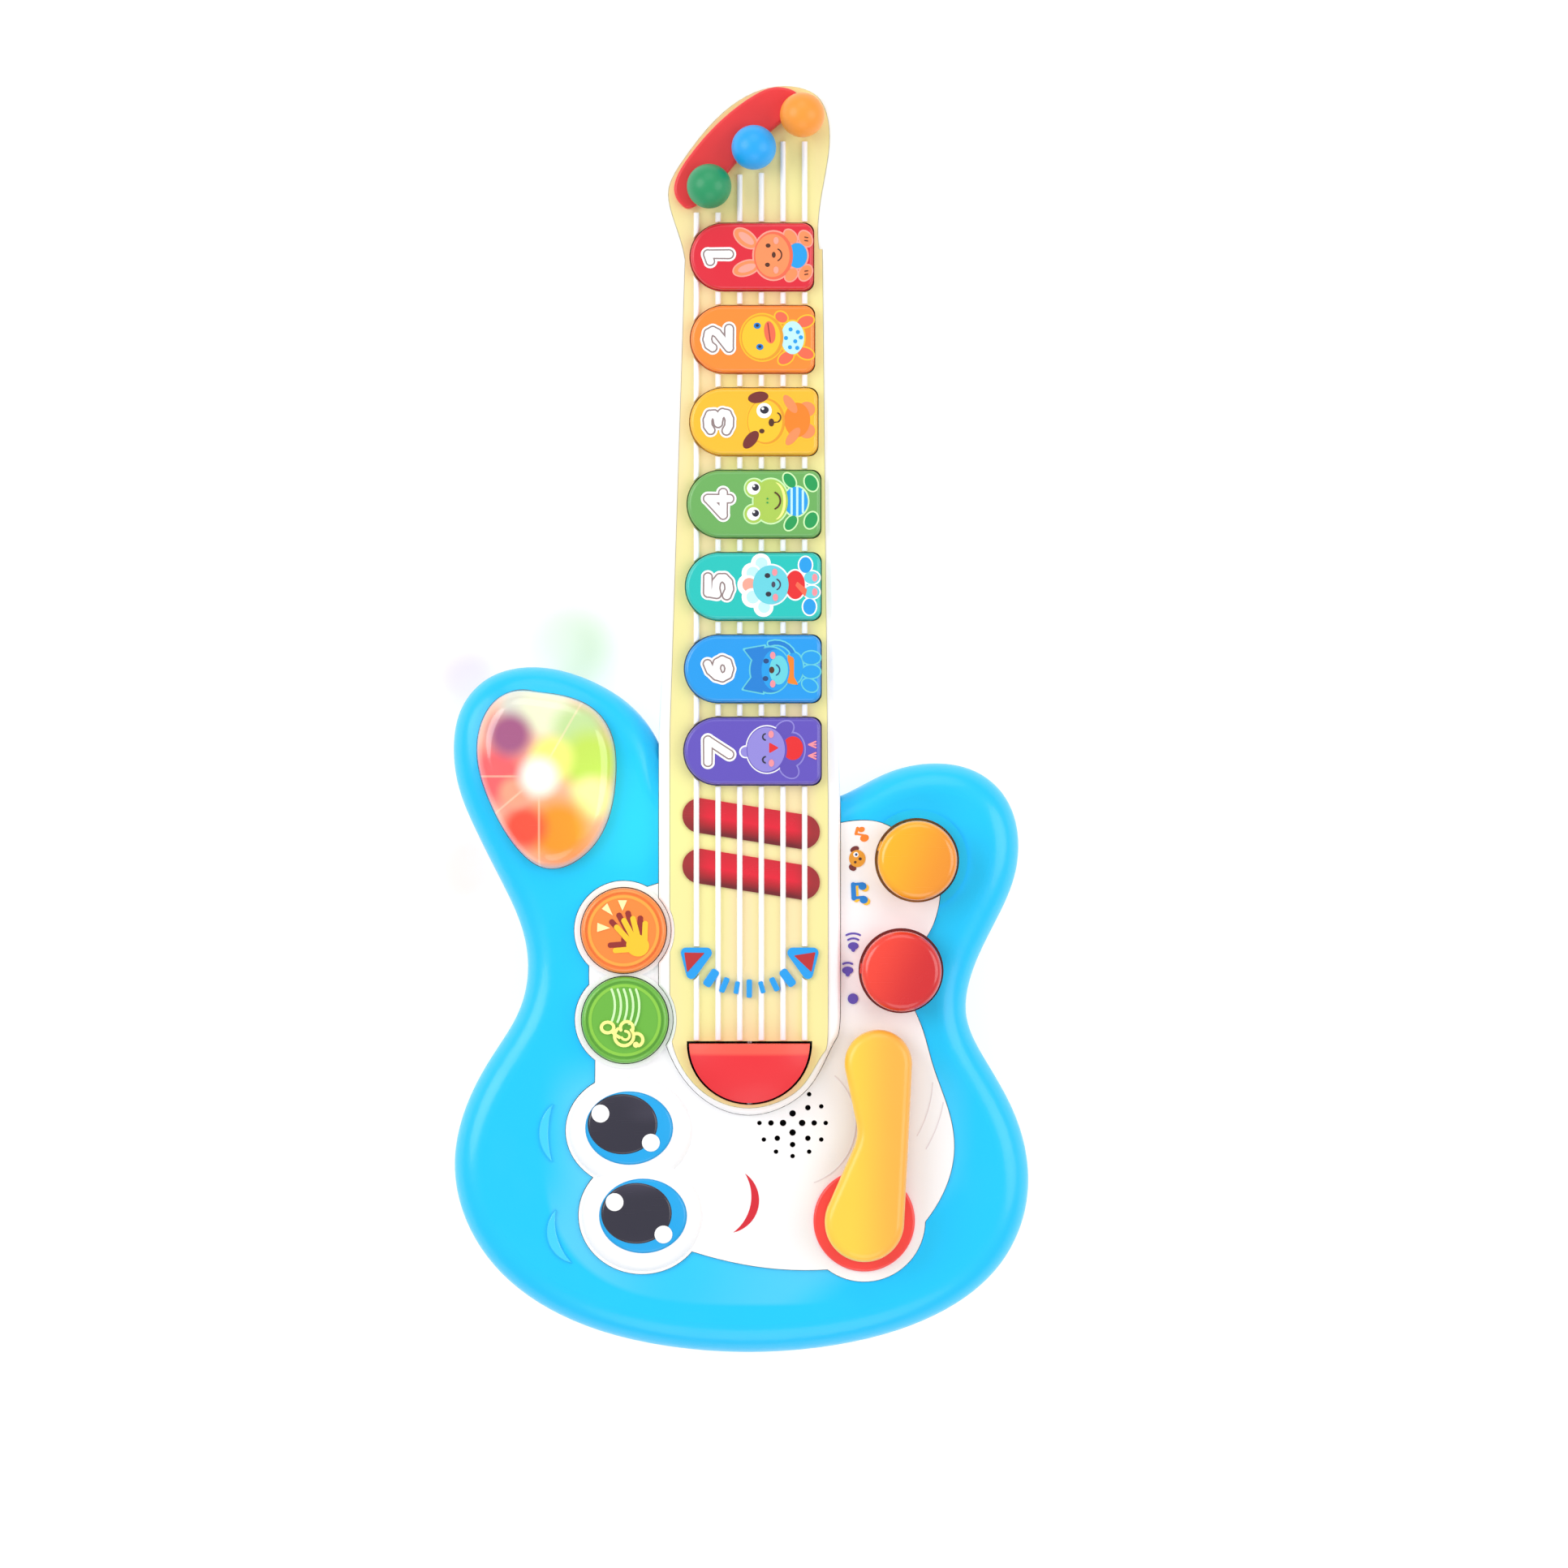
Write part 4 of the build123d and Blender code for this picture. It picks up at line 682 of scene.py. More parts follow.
# ------------------------------------------------------------------ mouldings
@dataclass
class Mouldings:
    """Finishes of the CAD nodes."""

    white: Finish = Finish("white_moulding", (252, 252, 254), 0.34, 0.3, 0.01)
    cream: Finish = PanelFinish("cream_panel", (243, 234, 160), 0.34, 0.25, 0.02)
    dark: Finish = Finish("black_plastic", (24, 24, 28), 0.5, 0.1)
    steel: Finish = Finish("plated_steel", (176, 178, 182), 0.28, 0.0, 0.04, metal=1.0)
    board: Finish = BoardFinish("green_board", (22, 96, 54), 0.3, 0.4)
    copper: Finish = Finish("lead_red", (190, 40, 36), 0.45, 0.1)
    finishes: dict[str, Finish] = field(default_factory=dict)

    def __post_init__(self) -> None:
        """Sets out which node gets which finish."""
        blue = BodyFinish("blue_body", (4, 200, 255), 0.32, 0.15, 0.04)
        rubber = Finish("grey_rubber", (120, 122, 126), 0.7, 0.0, 0.08)
        chosen = {
            blue: ["body_shell_front", "body_shell_back", "battery_door"],
            self.white: ["face_plate", "neck_shell_front", "neck_shell_back", "strings", "light_reflector",
                         "key_membrane", "battery_box", "neck_ribbon"],
            self.cream: ["fretboard"],
            PickupFinish("pickup_red", (216, 28, 44), 0.22, 0.5, 0.05): ["pickups"],
            Finish("badge_blue", (26, 160, 240), 0.28, 0.4): ["strum_badges"],
            Finish("crescent_red", (236, 52, 56), 0.4, 0.15): ["headstock_crescent"],
            Finish("peg_orange", (252, 156, 52), 0.42, 0.1): ["peg_orange"],
            Finish("peg_blue", (24, 168, 246), 0.42, 0.1): ["peg_blue"],
            Finish("peg_green", (30, 150, 96), 0.42, 0.1): ["peg_green"],
            Finish("button_orange", (250, 138, 58), 0.28, 0.45): ["clap_button"],
            Finish("button_green", (108, 184, 62), 0.28, 0.45): ["melody_button"],
            # Knobs, lever and rocker fade to a second colour: painted shade and highlight for how the light
            # falls on them.
            ShadedFinish("knob_orange", (255, 182, 20), 0.22, 0.6, second=(240, 146, 34), start=(43.0, -39.0),
                        end=(64.0, -47.0)): ["mode_knob"],
            ShadedFinish("knob_red", (246, 66, 48), 0.22, 0.6, second=(212, 32, 36), start=(38.0, -72.0),
                        end=(56.0, -80.0)): ["volume_knob"],
            ShadedFinish("lever_yellow", (255, 208, 66), 0.34, 0.3, second=(255, 180, 66),
                        start=(32.0, -128.0), end=(48.0, -128.0)): ["whammy_bar"],
            Finish("seat_red", (252, 68, 62), 0.3, 0.4): ["whammy_seat"],
            ShadedFinish("rocker_red", (236, 42, 52), 0.42, 0.05, second=(252, 92, 76), start=(0.0, -102.4),
                        end=(0.0, -100.9)): ["strum_rocker"],
            DomeFinish("light_dome", (250, 160, 90), 0.16, 0.8, 0.0, glow=0.14, depth=0.1): ["light_lens"],
            Finish("lamp_white", (252, 250, 240), 0.2, 0.6, glow=0.6): ["leds"],
            self.board: ["main_board", "neck_board", "led_board"],
            self.dark: ["board_chips", "speaker_frame", "mode_switch", "volume_switch", "whammy_switch"],
            self.steel: ["board_screws", "body_screws", "neck_screws", "battery_door_screw", "rocker_pin",
                         "battery_contacts", "speaker_magnet", "whammy_clip"],
            rubber: ["button_domes"],
            Finish("cone_paper", (58, 58, 62), 0.8, 0.0, 0.12): ["speaker_cone"],
            Finish("cell_wrap", (40, 60, 70), 0.35, 0.3): ["batteries"],
            self.copper: ["battery_leads", "speaker_leads"],
        }
        for finish, nodes in chosen.items():
            for node in nodes:
                self.finishes[node] = finish
        keys = [(226, 32, 54), (252, 142, 48), (248, 192, 44), (108, 176, 92), (24, 198, 190), (22, 156, 238),
                (98, 80, 190)]
        for i, colour in enumerate(keys, 1):
            self.finishes[f"key_{i}"] = Finish(f"key_colour_{i}", colour, 0.30, 0.4, 0.04)

    def dress(self) -> None:
        """Gives every CAD node its finish."""
        for name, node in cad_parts.items():
            finish = self.finishes.get(name, self.white)
            material = finish.build()
            if not node.material_slots:
                node.data.materials.append(material)
            for place in node.material_slots:
                place.material = material
            LOG.info("%s is %s", name, finish.name)


@dataclass
class Eye:
    """A printed eye that follows the dome of the face plate."""

    name: str
    dome: tuple[float, float, float, float]
    iris: tuple[float, float, float, float]
    pupil: tuple[float, float, float, float]
    lights: list[tuple[float, float, float]]
    dome_foot: float = 34.6
    dome_height: float = 4.2
    rings: int = 14

    def _height(self, x: float, y: float) -> float:
        """Height of the dome's skin."""
        x0, y0, a, b = self.dome
        fall = 1 - ((x - x0) / a) ** 2 - ((y - y0) / b) ** 2
        return self.dome_foot + self.dome_height * math.sqrt(max(fall, 0.0))

    def _spot(self, x: float, y: float, a: float, b: float, lift: float, index: int) -> bmesh.types.BMesh:
        """Curved oval sheet on the dome."""
        shape = bmesh.new()
        line = [shape.verts.new((i / self.rings, 0, 0)) for i in range(self.rings + 1)]
        edges = [shape.edges.new(pair) for pair in zip(line, line[1:])]
        bmesh.ops.spin(shape, geom=line + edges, cent=(0, 0, 0), axis=(0, 0, 1), angle=2 * math.pi,
                       steps=56, use_merge=True)
        bmesh.ops.remove_doubles(shape, verts=shape.verts, dist=1e-4)
        put(shape, x, y, 0.0, a, b)
        for vert in shape.verts:
            vert.co.z = self._height(vert.co.x, vert.co.y) + lift
        bmesh.ops.recalc_face_normals(shape, faces=shape.faces)
        if sum(face.normal.z for face in shape.faces) < 0:
            bmesh.ops.reverse_faces(shape, faces=shape.faces)
        bmesh.ops.solidify(shape, geom=shape.faces, thickness=0.06)
        for face in shape.faces:
            face.material_index = index
        return shape

    def build(self) -> None:
        """Makes the iris, the pupil and its two lights."""
        bm = bmesh.new()
        join(bm, self._spot(*self.iris, 0.10, 0))
        join(bm, self._spot(*self.pupil, 0.16, 1))
        for x, y, radius in self.lights:
            join(bm, self._spot(x, y, radius, radius, 0.22, 2))
        gloss = [Finish("iris_blue", Ink.IRIS.value, 0.3, 0.2, 0.04, 0.03, 0.3),
                 PupilFinish("pupil_night", Ink.NIGHT.value, 0.22, 0.3, 0.04, 0.03, 0.3),
                 Finish("eye_light", (255, 255, 255), 0.2, 0.5, 0.0, 0.02, 0.3)]
        finished(bm, self.name, gloss, "root", smooth=True)


@dataclass(frozen=True)
class PupilFinish(Finish):
    """Near-black print with paler bands, placed by noise, that are painted sheen."""

    def pattern(self, kit: Kit) -> Socket | None:
        """Night colour with paler bands of painted sheen."""
        _, y, _ = kit.split(kit.object_place())
        # Noise bands of painted sheen on the pupil.
        painted_sheen_wave = kit.noise(kit.mapping(kit.object_place(), (20.0, 60.0, 1.0)), 1.0, 1.0)
        return kit.mix(kit.step(painted_sheen_wave, 0.45, 0.75), linear(self.colour), linear((72, 68, 86)))


@dataclass
class Face:
    """Printed and raised marks of the face plate: eyes, smile and dial marks, and painted shade lines for its
    grooves.
    """

    plate_top: float = 35.0

    def eyes(self) -> None:
        """Both eyes."""
        Eye("eye_upper", (-33.5, -125.0, 18.8, 16.5), (-33.8, -124.1, 13.3, 11.1),
            (-35.8, -122.9, 10.6, 9.1), [(-42.5, -119.7, 2.7), (-27.2, -128.5, 2.7)]).build()
        Eye("eye_lower", (-30.0, -150.7, 18.4, 17.0), (-29.6, -150.7, 13.3, 11.3),
            (-31.6, -149.9, 10.7, 9.2), [(-38.2, -146.5, 2.7), (-23.4, -156.3, 2.7)]).build()

    def smile(self) -> None:
        """Red crescent smile."""
        page = Picture("smile_print", "root", (0, 0, self.plate_top))
        outer = arc_points((1.3, -138.0), (5.5, -147.1), (-2.3, -155.9), 20)
        inner = arc_points((-2.3, -155.9), (3.0, -147.3), (1.3, -138.0), 20)
        page.patch(outer + inner[1:-1], Ink.SMILE)
        page.done()

    def grooves(self) -> None:
        """Painted shade lines for the faint grooves beside the lever and round the grille."""
        page = Picture("plate_groove_shade", "root", (0, 0, self.plate_top), base=0.01, step=0.002)
        page.path(arc_points((53.5, -126.5), (57.0, -118.0), (58.2, -110.5), 10), 0.35, Ink.GROOVE_SHADE)
        page.path(arc_points((56.2, -130.5), (60.2, -121.5), (61.4, -116.5), 10), 0.35, Ink.GROOVE_SHADE)
        page.arc(15.7, -122.7, 19.2, -70, 48, 0.35, Ink.GROOVE_SHADE, steps=30)
        page.done()

    def mode_marks(self) -> None:
        """Note, face and tune marks of the mode knob."""
        page = Picture("mode_marks", "root", (0, 0, self.plate_top))
        page.blob(37.5, -36.3, 1.35, 1.1, Ink.ORANGE, 20)
        page.bar((37.2, -35.4), (34.8, -35.0), 0.6, Ink.ORANGE)
        page.bar((34.9, -35.0), (35.4, -33.3), 0.9, Ink.ORANGE)
        page.blobs((36.6, -33.7, 1.0, 0.8, Ink.ORANGE, 20), (34.5, -39.7, 1.4, 0.9, Ink.BROWN, 25),
                   (33.9, -45.2, 1.2, 1.0, Ink.BROWN, -35), (35.3, -42.5, 2.5, 2.6, Ink.AMBER),
                   (34.9, -41.3, 0.8, 0.8, Ink.WHITE), (35.0, -41.3, 0.4, 0.4, Ink.NAVY),
                   (34.7, -43.6, 0.4, 0.4, Ink.UMBER), (36.2, -42.6, 0.5, 0.45, Ink.UMBER))
        for dx, dy, shade in ((0.7, -0.5, Ink.SUN), (0.0, 0.0, Ink.AZURE)):
            page.blobs((36.9 + dx, -50.9 + dy, 1.25, 1.15, shade), (37.3 + dx, -55.0 + dy, 1.25, 1.15, shade))
            page.bar((36.9 + dx, -50.1 + dy), (34.0 + dx, -50.4 + dy), 0.9, shade)
            page.bar((37.2 + dx, -54.2 + dy), (34.2 + dx, -54.5 + dy), 0.9, shade)
            page.bar((34.1 + dx, -50.4 + dy), (34.3 + dx, -54.5 + dy), 1.5, shade)
        page.done()

    def volume_marks(self) -> None:
        """Loud, soft and off marks of the volume knob."""
        page = Picture("volume_marks", "root", (0, 0, self.plate_top))
        page.arc(34.1, -69.6, 4.4, 62, 118, 0.6, Ink.PURPLE, 8)
        page.arc(34.1, -69.6, 2.9, 58, 122, 0.6, Ink.PURPLE, 6)
        page.blobs((34.1, -69.0, 1.6, 1.15, Ink.PURPLE), (34.1, -69.9, 0.7, 0.9, Ink.PURPLE))
        page.arc(32.4, -77.0, 2.9, 62, 118, 0.6, Ink.PURPLE, 6)
        page.blobs((32.4, -76.4, 1.7, 1.15, Ink.PURPLE), (32.4, -77.4, 0.7, 0.9, Ink.PURPLE),
                   (34.0, -85.0, 1.6, 1.6, Ink.PURPLE))
        page.done()

    def brows(self) -> None:
        """Raised crescents in the blue shell beside the eyes, in a paler blue that is painted sheen."""
        bm = bmesh.new()
        shapes = [((-57.0, -117.0), (-61.2, -126.0), (-57.2, -134.5), (-58.4, -126.0)),
                  ((-56.0, -149.0), (-58.6, -158.0), (-51.2, -165.2), (-55.6, -157.6))]
        for start, out, end, inner in shapes:
            shape = bmesh.new()
            outline = arc_points(start, out, end, 14) + arc_points(end, inner, start, 14)[1:-1]
            shape.faces.new([shape.verts.new((x, y, 0)) for x, y in outline])
            raise_flat(shape, 33.6, 34.9, 0.5)
            join(bm, shape)
        # The paler blue of the brows is painted sheen on the raised crescents.
        finished(bm, "eye_brows", [Finish("brow_blue_painted_sheen", (60, 210, 255), 0.28, 0.5)], "root")

    def build(self) -> None:
        """Makes every mark."""
        self.eyes()
        self.smile()
        self.grooves()
        self.mode_marks()
        self.volume_marks()
        self.brows()


@dataclass
class Strum:
    """Marks of the strumming field: triangle hearts and the row of dashes."""

    badge_top: float = 39.6
    panel_top: float = 38.6
    over_strings: float = 40.35

    def hearts(self) -> None:
        """Red triangles in the blue badges."""
        page = Picture("badge_hearts", "root", (0, 0, self.badge_top))
        page.patch([(-17.1, -70.9), (-10.9, -71.0), (-16.2, -76.9)], Ink.GARNET, 0.3)
        page.patch([(22.6, -70.8), (16.1, -71.8), (21.4, -76.8)], Ink.GARNET, 0.3)
        page.done()

    def dashes(self) -> None:
        """Raised blue dashes that lie over the strings in a smile."""
        bm = bmesh.new()
        rows = [((-7.3, -76.2), (-10.6, -81.0), 2.7), ((-4.0, -78.5), (-5.9, -82.9), 1.8),
                ((-0.9, -79.6), (-1.5, -83.4), 1.5), ((2.6, -79.0), (2.6, -84.6), 1.7),
                ((5.9, -79.6), (6.9, -83.2), 1.5), ((9.2, -78.5), (11.2, -82.5), 1.8),
                ((12.4, -76.2), (16.0, -80.9), 2.7)]
        for start, end, width in rows:
            shape = bmesh.new()
            along = Vector(end) - Vector(start)
            bmesh.ops.create_grid(shape, x_segments=1, y_segments=1, size=0.5)
            bmesh.ops.scale(shape, verts=shape.verts, vec=(along.length, width, 1))
            round_corners(shape, list(shape.verts), width * 0.32, 4)
            raise_flat(shape, self.panel_top - 0.1, self.over_strings, 0.25)
            put_between(shape, start, end)
            join(bm, shape)
        finished(bm, "strum_dashes", [Finish("dash_blue", (26, 160, 240), 0.28, 0.4)], "root")

    def build(self) -> None:
        """Makes the hearts and the dashes."""
        self.hearts()
        self.dashes()


@dataclass
class Buttons:
    """Printed pictures of the two round buttons."""

    def clap(self) -> None:
        """Two hands that meet, with three sound wedges."""
        page = Picture("clap_print", "clap_button", (-35.5, -64.3, top_of("clap_button")))
        page.ring(0, 0, 10.35, 0.9, Ink.RING_ORANGE)
        for dx, dy, shade in ((-1.5, 1.6, Ink.MAROON), (0.0, 0.0, Ink.SUN)):
            tips = [(-2.0, 1.0), (0.2, 3.0), (2.9, 3.6), (6.6, 2.1)]
            roots = [(2.2, -3.6), (3.4, -3.0), (4.6, -3.0), (6.4, -3.4)]
            for tip, root in zip(tips, roots):
                page.bar((tip[0] + dx, tip[1] + dy), (root[0] + dx, root[1] + dy), 1.75, shade)
            page.bar((-2.4 + dx, -6.0 + dy), (3.0 + dx, -5.6 + dy), 1.7, shade)
            page.blob(4.3 + dx, -4.5 + dy, 3.5, 3.3, shade, -20)
        for tip, left, right in (((-0.3, 6.0), (-1.7, 9.2), (1.1, 9.2)),
                                 ((-3.2, 4.6), (-6.6, 6.6), (-4.9, 8.3)),
                                 ((-4.0, 0.8), (-8.0, -0.4), (-7.9, 2.4))):
            page.patch([tip, left, right], Ink.CREAM, 0.15)
        page.done()

    def melody(self) -> None:
        """Five staff lines that run down into a clef."""
        page = Picture("melody_print", "melody_button", (-35.1, -91.4, top_of("melody_button")))
        page.ring(0, 0, 10.5, 0.9, Ink.RING_GREEN)
        for i in range(5):
            x = -4.0 + 1.85 * i
            low = (x + 0.1 - 0.12 * i, -0.2 - 0.32 * i)
            page.path(arc_points((x, 9.3), (x + 1.0, 4.4), low, 8), 0.72, Ink.MINT)
        page.arc(-5.2, -2.2, 1.9, 0, 360, 1.0, Ink.LEMON, 16, 0.85)
        page.path([(-4.0, -3.4), (-2.6, -4.6), (-1.6, -5.2)], 1.0, Ink.LEMON)
        page.arc(-0.2, -4.8, 2.9, 130, 400, 1.0, Ink.LEMON, 18)
        page.arc(0.6, -2.3, 1.9, -30, 200, 1.0, Ink.LEMON, 12)
        page.arc(0.2, -4.6, 1.3, -150, 90, 0.8, Ink.LEMON, 12)
        page.arc(3.6, -5.9, 1.9, -70, 110, 1.0, Ink.LEMON, 10)
        page.blob(3.4, -7.4, 0.9, 0.9, Ink.LEMON)
        page.done()

    def build(self) -> None:
        """Prints both buttons."""
        self.clap()
        self.melody()


class KeyPicture:
    """Digit and animal printed on one key. Up in the picture is left on the guitar."""

    DIGITS: dict[int, list[list[Point]]] = {
        1: [[(-1.5, 2.5), (0.6, 3.2), (0.6, -3.2)]],
        2: [[(-2.7, 1.8), (-1.9, 2.9), (-0.2, 3.4), (1.7, 3.0), (2.4, 1.7), (1.7, 0.4), (-2.8, -3.2),
             (3.0, -3.2)]],
        3: [[(-2.7, 2.4), (-1.5, 3.2), (0.4, 3.3), (2.0, 2.6), (2.1, 1.3), (1.0, 0.4), (-0.6, 0.1)],
            [(-0.6, 0.1), (1.4, -0.2), (2.5, -1.2), (2.2, -2.6), (0.6, -3.3), (-1.4, -3.2), (-2.9, -2.4)]],
        4: [[(1.5, -3.3), (1.5, 3.2), (-3.4, -1.4), (3.3, -1.4)]],
        5: [[(2.7, 3.2), (-2.0, 3.2), (-2.4, 0.5), (-0.8, 0.9), (1.2, 0.7), (2.5, -0.4), (2.5, -1.8),
             (1.2, -3.0), (-0.9, -3.3), (-2.8, -2.5)]],
        6: [[(1.4, 3.3), (-0.6, 2.4), (-2.2, 0.6), (-2.7, -1.2), (-1.8, -2.8), (0.0, -3.3), (1.9, -2.7),
             (2.6, -1.1), (1.8, 0.3), (0.1, 0.8), (-1.8, 0.1), (-2.5, -0.9)]],
        7: [[(-3.3, 3.2), (3.3, 3.2), (-1.0, -3.3)]],
    }

    lip_width: float = 0.3

    def __init__(self, number: int) -> None:
        """Sets the key's number and the middle of its picture."""
        self.number = number
        self.node = f"key_{number}"
        low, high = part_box(self.node)
        self.mid_y = (low.y + high.y) / 2 / MM
        self.top = high.z / MM
        self.foot = 11.5 - high.x / MM + 0.9
        self.page = Picture(f"key_picture_{number}", self.node, (11.5, self.mid_y, self.top), 90.0)

    def lip(self) -> None:
        """Thin lip round the key's foot that closes most of the gap to the panel."""
        low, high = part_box(self.node)
        left, right, half = low.x / MM - self.lip_width, high.x / MM + self.lip_width, 10.0 + self.lip_width
        shape = bmesh.new()
        bmesh.ops.create_grid(shape, x_segments=1, y_segments=1, size=0.5)
        bmesh.ops.scale(shape, verts=shape.verts, vec=(right - left, 2 * half, 1))
        bmesh.ops.translate(shape, verts=shape.verts, vec=((left + right) / 2, self.mid_y, 0))
        middle_x = (left + right) / 2
        for chosen, radius, steps in ((lambda v: v.co.x < middle_x, half - 0.02, 16),
                                      (lambda v: v.co.x > middle_x, 3.0 + self.lip_width, 6)):
            round_corners(shape, [v for v in shape.verts if chosen(v)], radius, steps)
            middle_x = right - 5.0
        raise_flat(shape, self.top - 5.2, self.top - 4.3)
        finished(shape, f"key_lip_{self.number}", [Mouldings().finishes[self.node]], self.node)

    def digit(self) -> None:
        """Number with a white core, a thin dark band and a white outline."""
        page = Picture(f"key_digit_{self.number}", self.node, (-6.7, self.mid_y, self.top), 90.0)
        for width, ink in ((4.3, Ink.WHITE), (3.1, Ink.BAND), (2.2, Ink.WHITE)):
            for stroke in self.DIGITS[self.number]:
                page.path(stroke, width, ink)
        page.done()

    def eyes(self, spots: list[Point], size: float = 0.62, ink: Ink = Ink.NIGHT) -> None:
        """Pair of dot eyes."""
        for u, v in spots:
            self.page.blob(u, v, size, size * 1.15, ink)

    def smile(self, u: float, v: float, radius: float, ink: Ink = Ink.UMBER, width: float = 0.4) -> None:
        """Small curved mouth."""
        self.page.arc(u, v, radius, 205, 335, width, ink, 8)

    def cheeks(self, spots: list[Point], ink: Ink = Ink.PINK) -> None:
        """Soft cheek spots."""
        for u, v in spots:
            self.page.blob(u, v, 1.1, 0.8, ink)

    def limbs(self, spots: list[tuple[float, float, float, float, float]], ink: Ink, rim: Ink) -> None:
        """Arms and feet, each with its outline."""
        for u, v, a, b, turn in spots:
            self.page.blob(u, v, a, b, ink, turn, rim, 0.45)

    def rabbit(self) -> None:
        """Orange rabbit with a blue vest."""
        page, rim = self.page, Ink.BLUSH
        self.limbs([(5.4, 10.0, 2.1, 3.9, -38), (-3.6, 9.8, 2.0, 3.9, 18)], Ink.PEACH, rim)
        page.blobs((5.4, 9.8, 1.2, 2.8, Ink.BLUSH, -38), (-3.6, 9.6, 1.15, 2.8, Ink.BLUSH, 18))
        self.limbs([(5.3, self.foot + 1.3, 2.4, 1.7, 30), (-5.0, self.foot + 1.3, 2.4, 1.7, -30)],
                   Ink.PEACH, rim)
        page.blob(0.2, -5.6, 3.8, 3.0, Ink.SKY, 0, rim)
        self.limbs([(5.9, -3.6, 2.3, 1.5, 40), (-5.6, -3.8, 2.1, 1.5, -40)], Ink.PEACH, rim)
        page.blobs((0.2, 1.6, 7.2, 5.9, Ink.CORAL, 0, rim), (0.2, 1.9, 6.5, 5.2, Ink.PEACH))
        self.eyes([(3.2, 3.2), (-2.6, 3.4)], 0.65, Ink.UMBER)
        page.blob(0.4, 1.5, 0.9, 0.6, Ink.UMBER)
        self.smile(0.4, 1.0, 1.9)
        self.cheeks([(4.7, 0.8), (-4.2, 0.8)], Ink.BLUSH)
        for u in (4.6, 5.6, -4.4, -5.4):
            page.bar((u, self.foot + 0.6), (u * 1.03, self.foot + 1.5), 0.3, Ink.UMBER)

    def duck(self) -> None:
        """Yellow duckling with a dotted bib."""
        page, rim = self.page, Ink.SUN
        self.limbs([(5.2, self.foot + 1.6, 1.6, 2.5, 20), (-4.4, self.foot + 1.6, 1.6, 2.5, -20),
                    (6.5, -0.8, 1.5, 1.9, -30), (-5.8, -2.2, 1.6, 2.5, 35)], Ink.CORAL, rim)
        page.blob(0.3, -4.2, 5.0, 3.5, Ink.PALE_AQUA, 0, rim)
        for u, v in ((-2.6, -3.4), (0.2, -2.2), (2.8, -3.6), (-0.8, -5.0), (2.0, -5.8),
                     (-2.8, -5.6), (0.4, -6.7)):
            page.blob(u, v, 0.62, 0.62, Ink.SKY)
        page.blobs((0.4, 5.0, 6.9, 6.4, Ink.AMBER, 0, rim), (0.4, 5.3, 6.4, 5.8, Ink.SUN),
                   (1.9, 2.7, 3.4, 1.7, Ink.CORAL, 8))
        page.bar((-0.9, 2.5), (4.7, 3.3), 0.3, Ink.MAROON)
        self.eyes([(3.9, 6.5), (-2.5, 5.7)], 0.95, Ink.AZURE)
        self.eyes([(4.0, 6.5), (-2.4, 5.7)], 0.45, Ink.NIGHT)

    def dog(self) -> None:
        """Golden dog with brown ears and one white eye patch."""
        page, rim = self.page, Ink.SUN
        self.limbs([(3.6, self.foot + 2.2, 2.3, 2.5, 0), (-2.9, self.foot + 2.2, 2.3, 2.5, 0)],
                   Ink.PEACH, rim)
        page.blob(0.4, -5.6, 5.2, 3.9, Ink.ORANGE, 0, rim)
        self.limbs([(5.2, -3.5, 3.2, 1.4, 35), (-4.6, -4.3, 3.2, 1.4, -38)], Ink.PEACH, rim)
        page.blobs((0.0, 3.8, 6.9, 5.7, Ink.AMBER, 0, rim), (0.0, 4.1, 6.4, 5.2, Ink.SUN))
        self.limbs([(7.2, 6.2, 1.7, 3.1, 10), (-5.6, 8.4, 1.7, 3.2, 50)], Ink.BROWN, rim)
        page.blob(3.2, 4.4, 2.3, 2.3, Ink.WHITE)
        self.eyes([(3.4, 4.3)], 1.15, Ink.NIGHT)
        page.blob(3.8, 4.8, 0.4, 0.4, Ink.WHITE)
        self.eyes([(-3.0, 5.1)], 0.7, Ink.UMBER)
        page.blob(-0.4, 2.2, 1.2, 0.85, Ink.UMBER)
        page.path([(-0.4, 1.6), (-0.3, 0.7)], 0.35, Ink.UMBER)
        self.smile(1.1, 0.9, 1.5)

    def frog(self) -> None:
        """Green frog with a striped vest."""
        page, rim = self.page, Ink.MINT
        self.limbs([(6.3, self.foot + 1.8, 2.5, 1.8, 25), (-5.0, self.foot + 1.8, 2.5, 1.8, -25),
                    (7.0, -3.3, 2.4, 1.5, 35), (-5.8, -3.7, 2.4, 1.5, -35)], Ink.GREEN, rim)
        page.blob(0.7, -5.2, 4.4, 3.6, Ink.SKY, 0, rim)
        for v, half in ((-3.9, 3.8), (-5.6, 4.2), (-7.3, 3.2)):
            page.bar((0.7 - half, v), (0.7 + half, v), 0.7, Ink.PALE_AQUA)
        self.limbs([(4.7, 7.4, 2.7, 2.7, 0), (-3.1, 7.6, 2.7, 2.7, 0)], Ink.LIME, rim)
        page.blobs((0.8, 2.4, 6.6, 5.2, Ink.LIME, 0, rim), (0.8, 1.0, 5.6, 3.2, Ink.LEMON),
                   (0.8, 2.1, 5.9, 3.5, Ink.LIME))
        for u in (4.7, -3.1):
            page.blobs((u, 7.6, 2.0, 2.0, Ink.WHITE), (u + 0.2, 7.0, 1.05, 1.05, Ink.NIGHT),
                       (u + 0.6, 7.5, 0.35, 0.35, Ink.WHITE))
        self.smile(0.9, 2.2, 2.7, Ink.UMBER, 0.5)
        for u in (0.3, 1.5):
            page.blob(u, 3.4, 0.25, 0.3, Ink.GREEN)

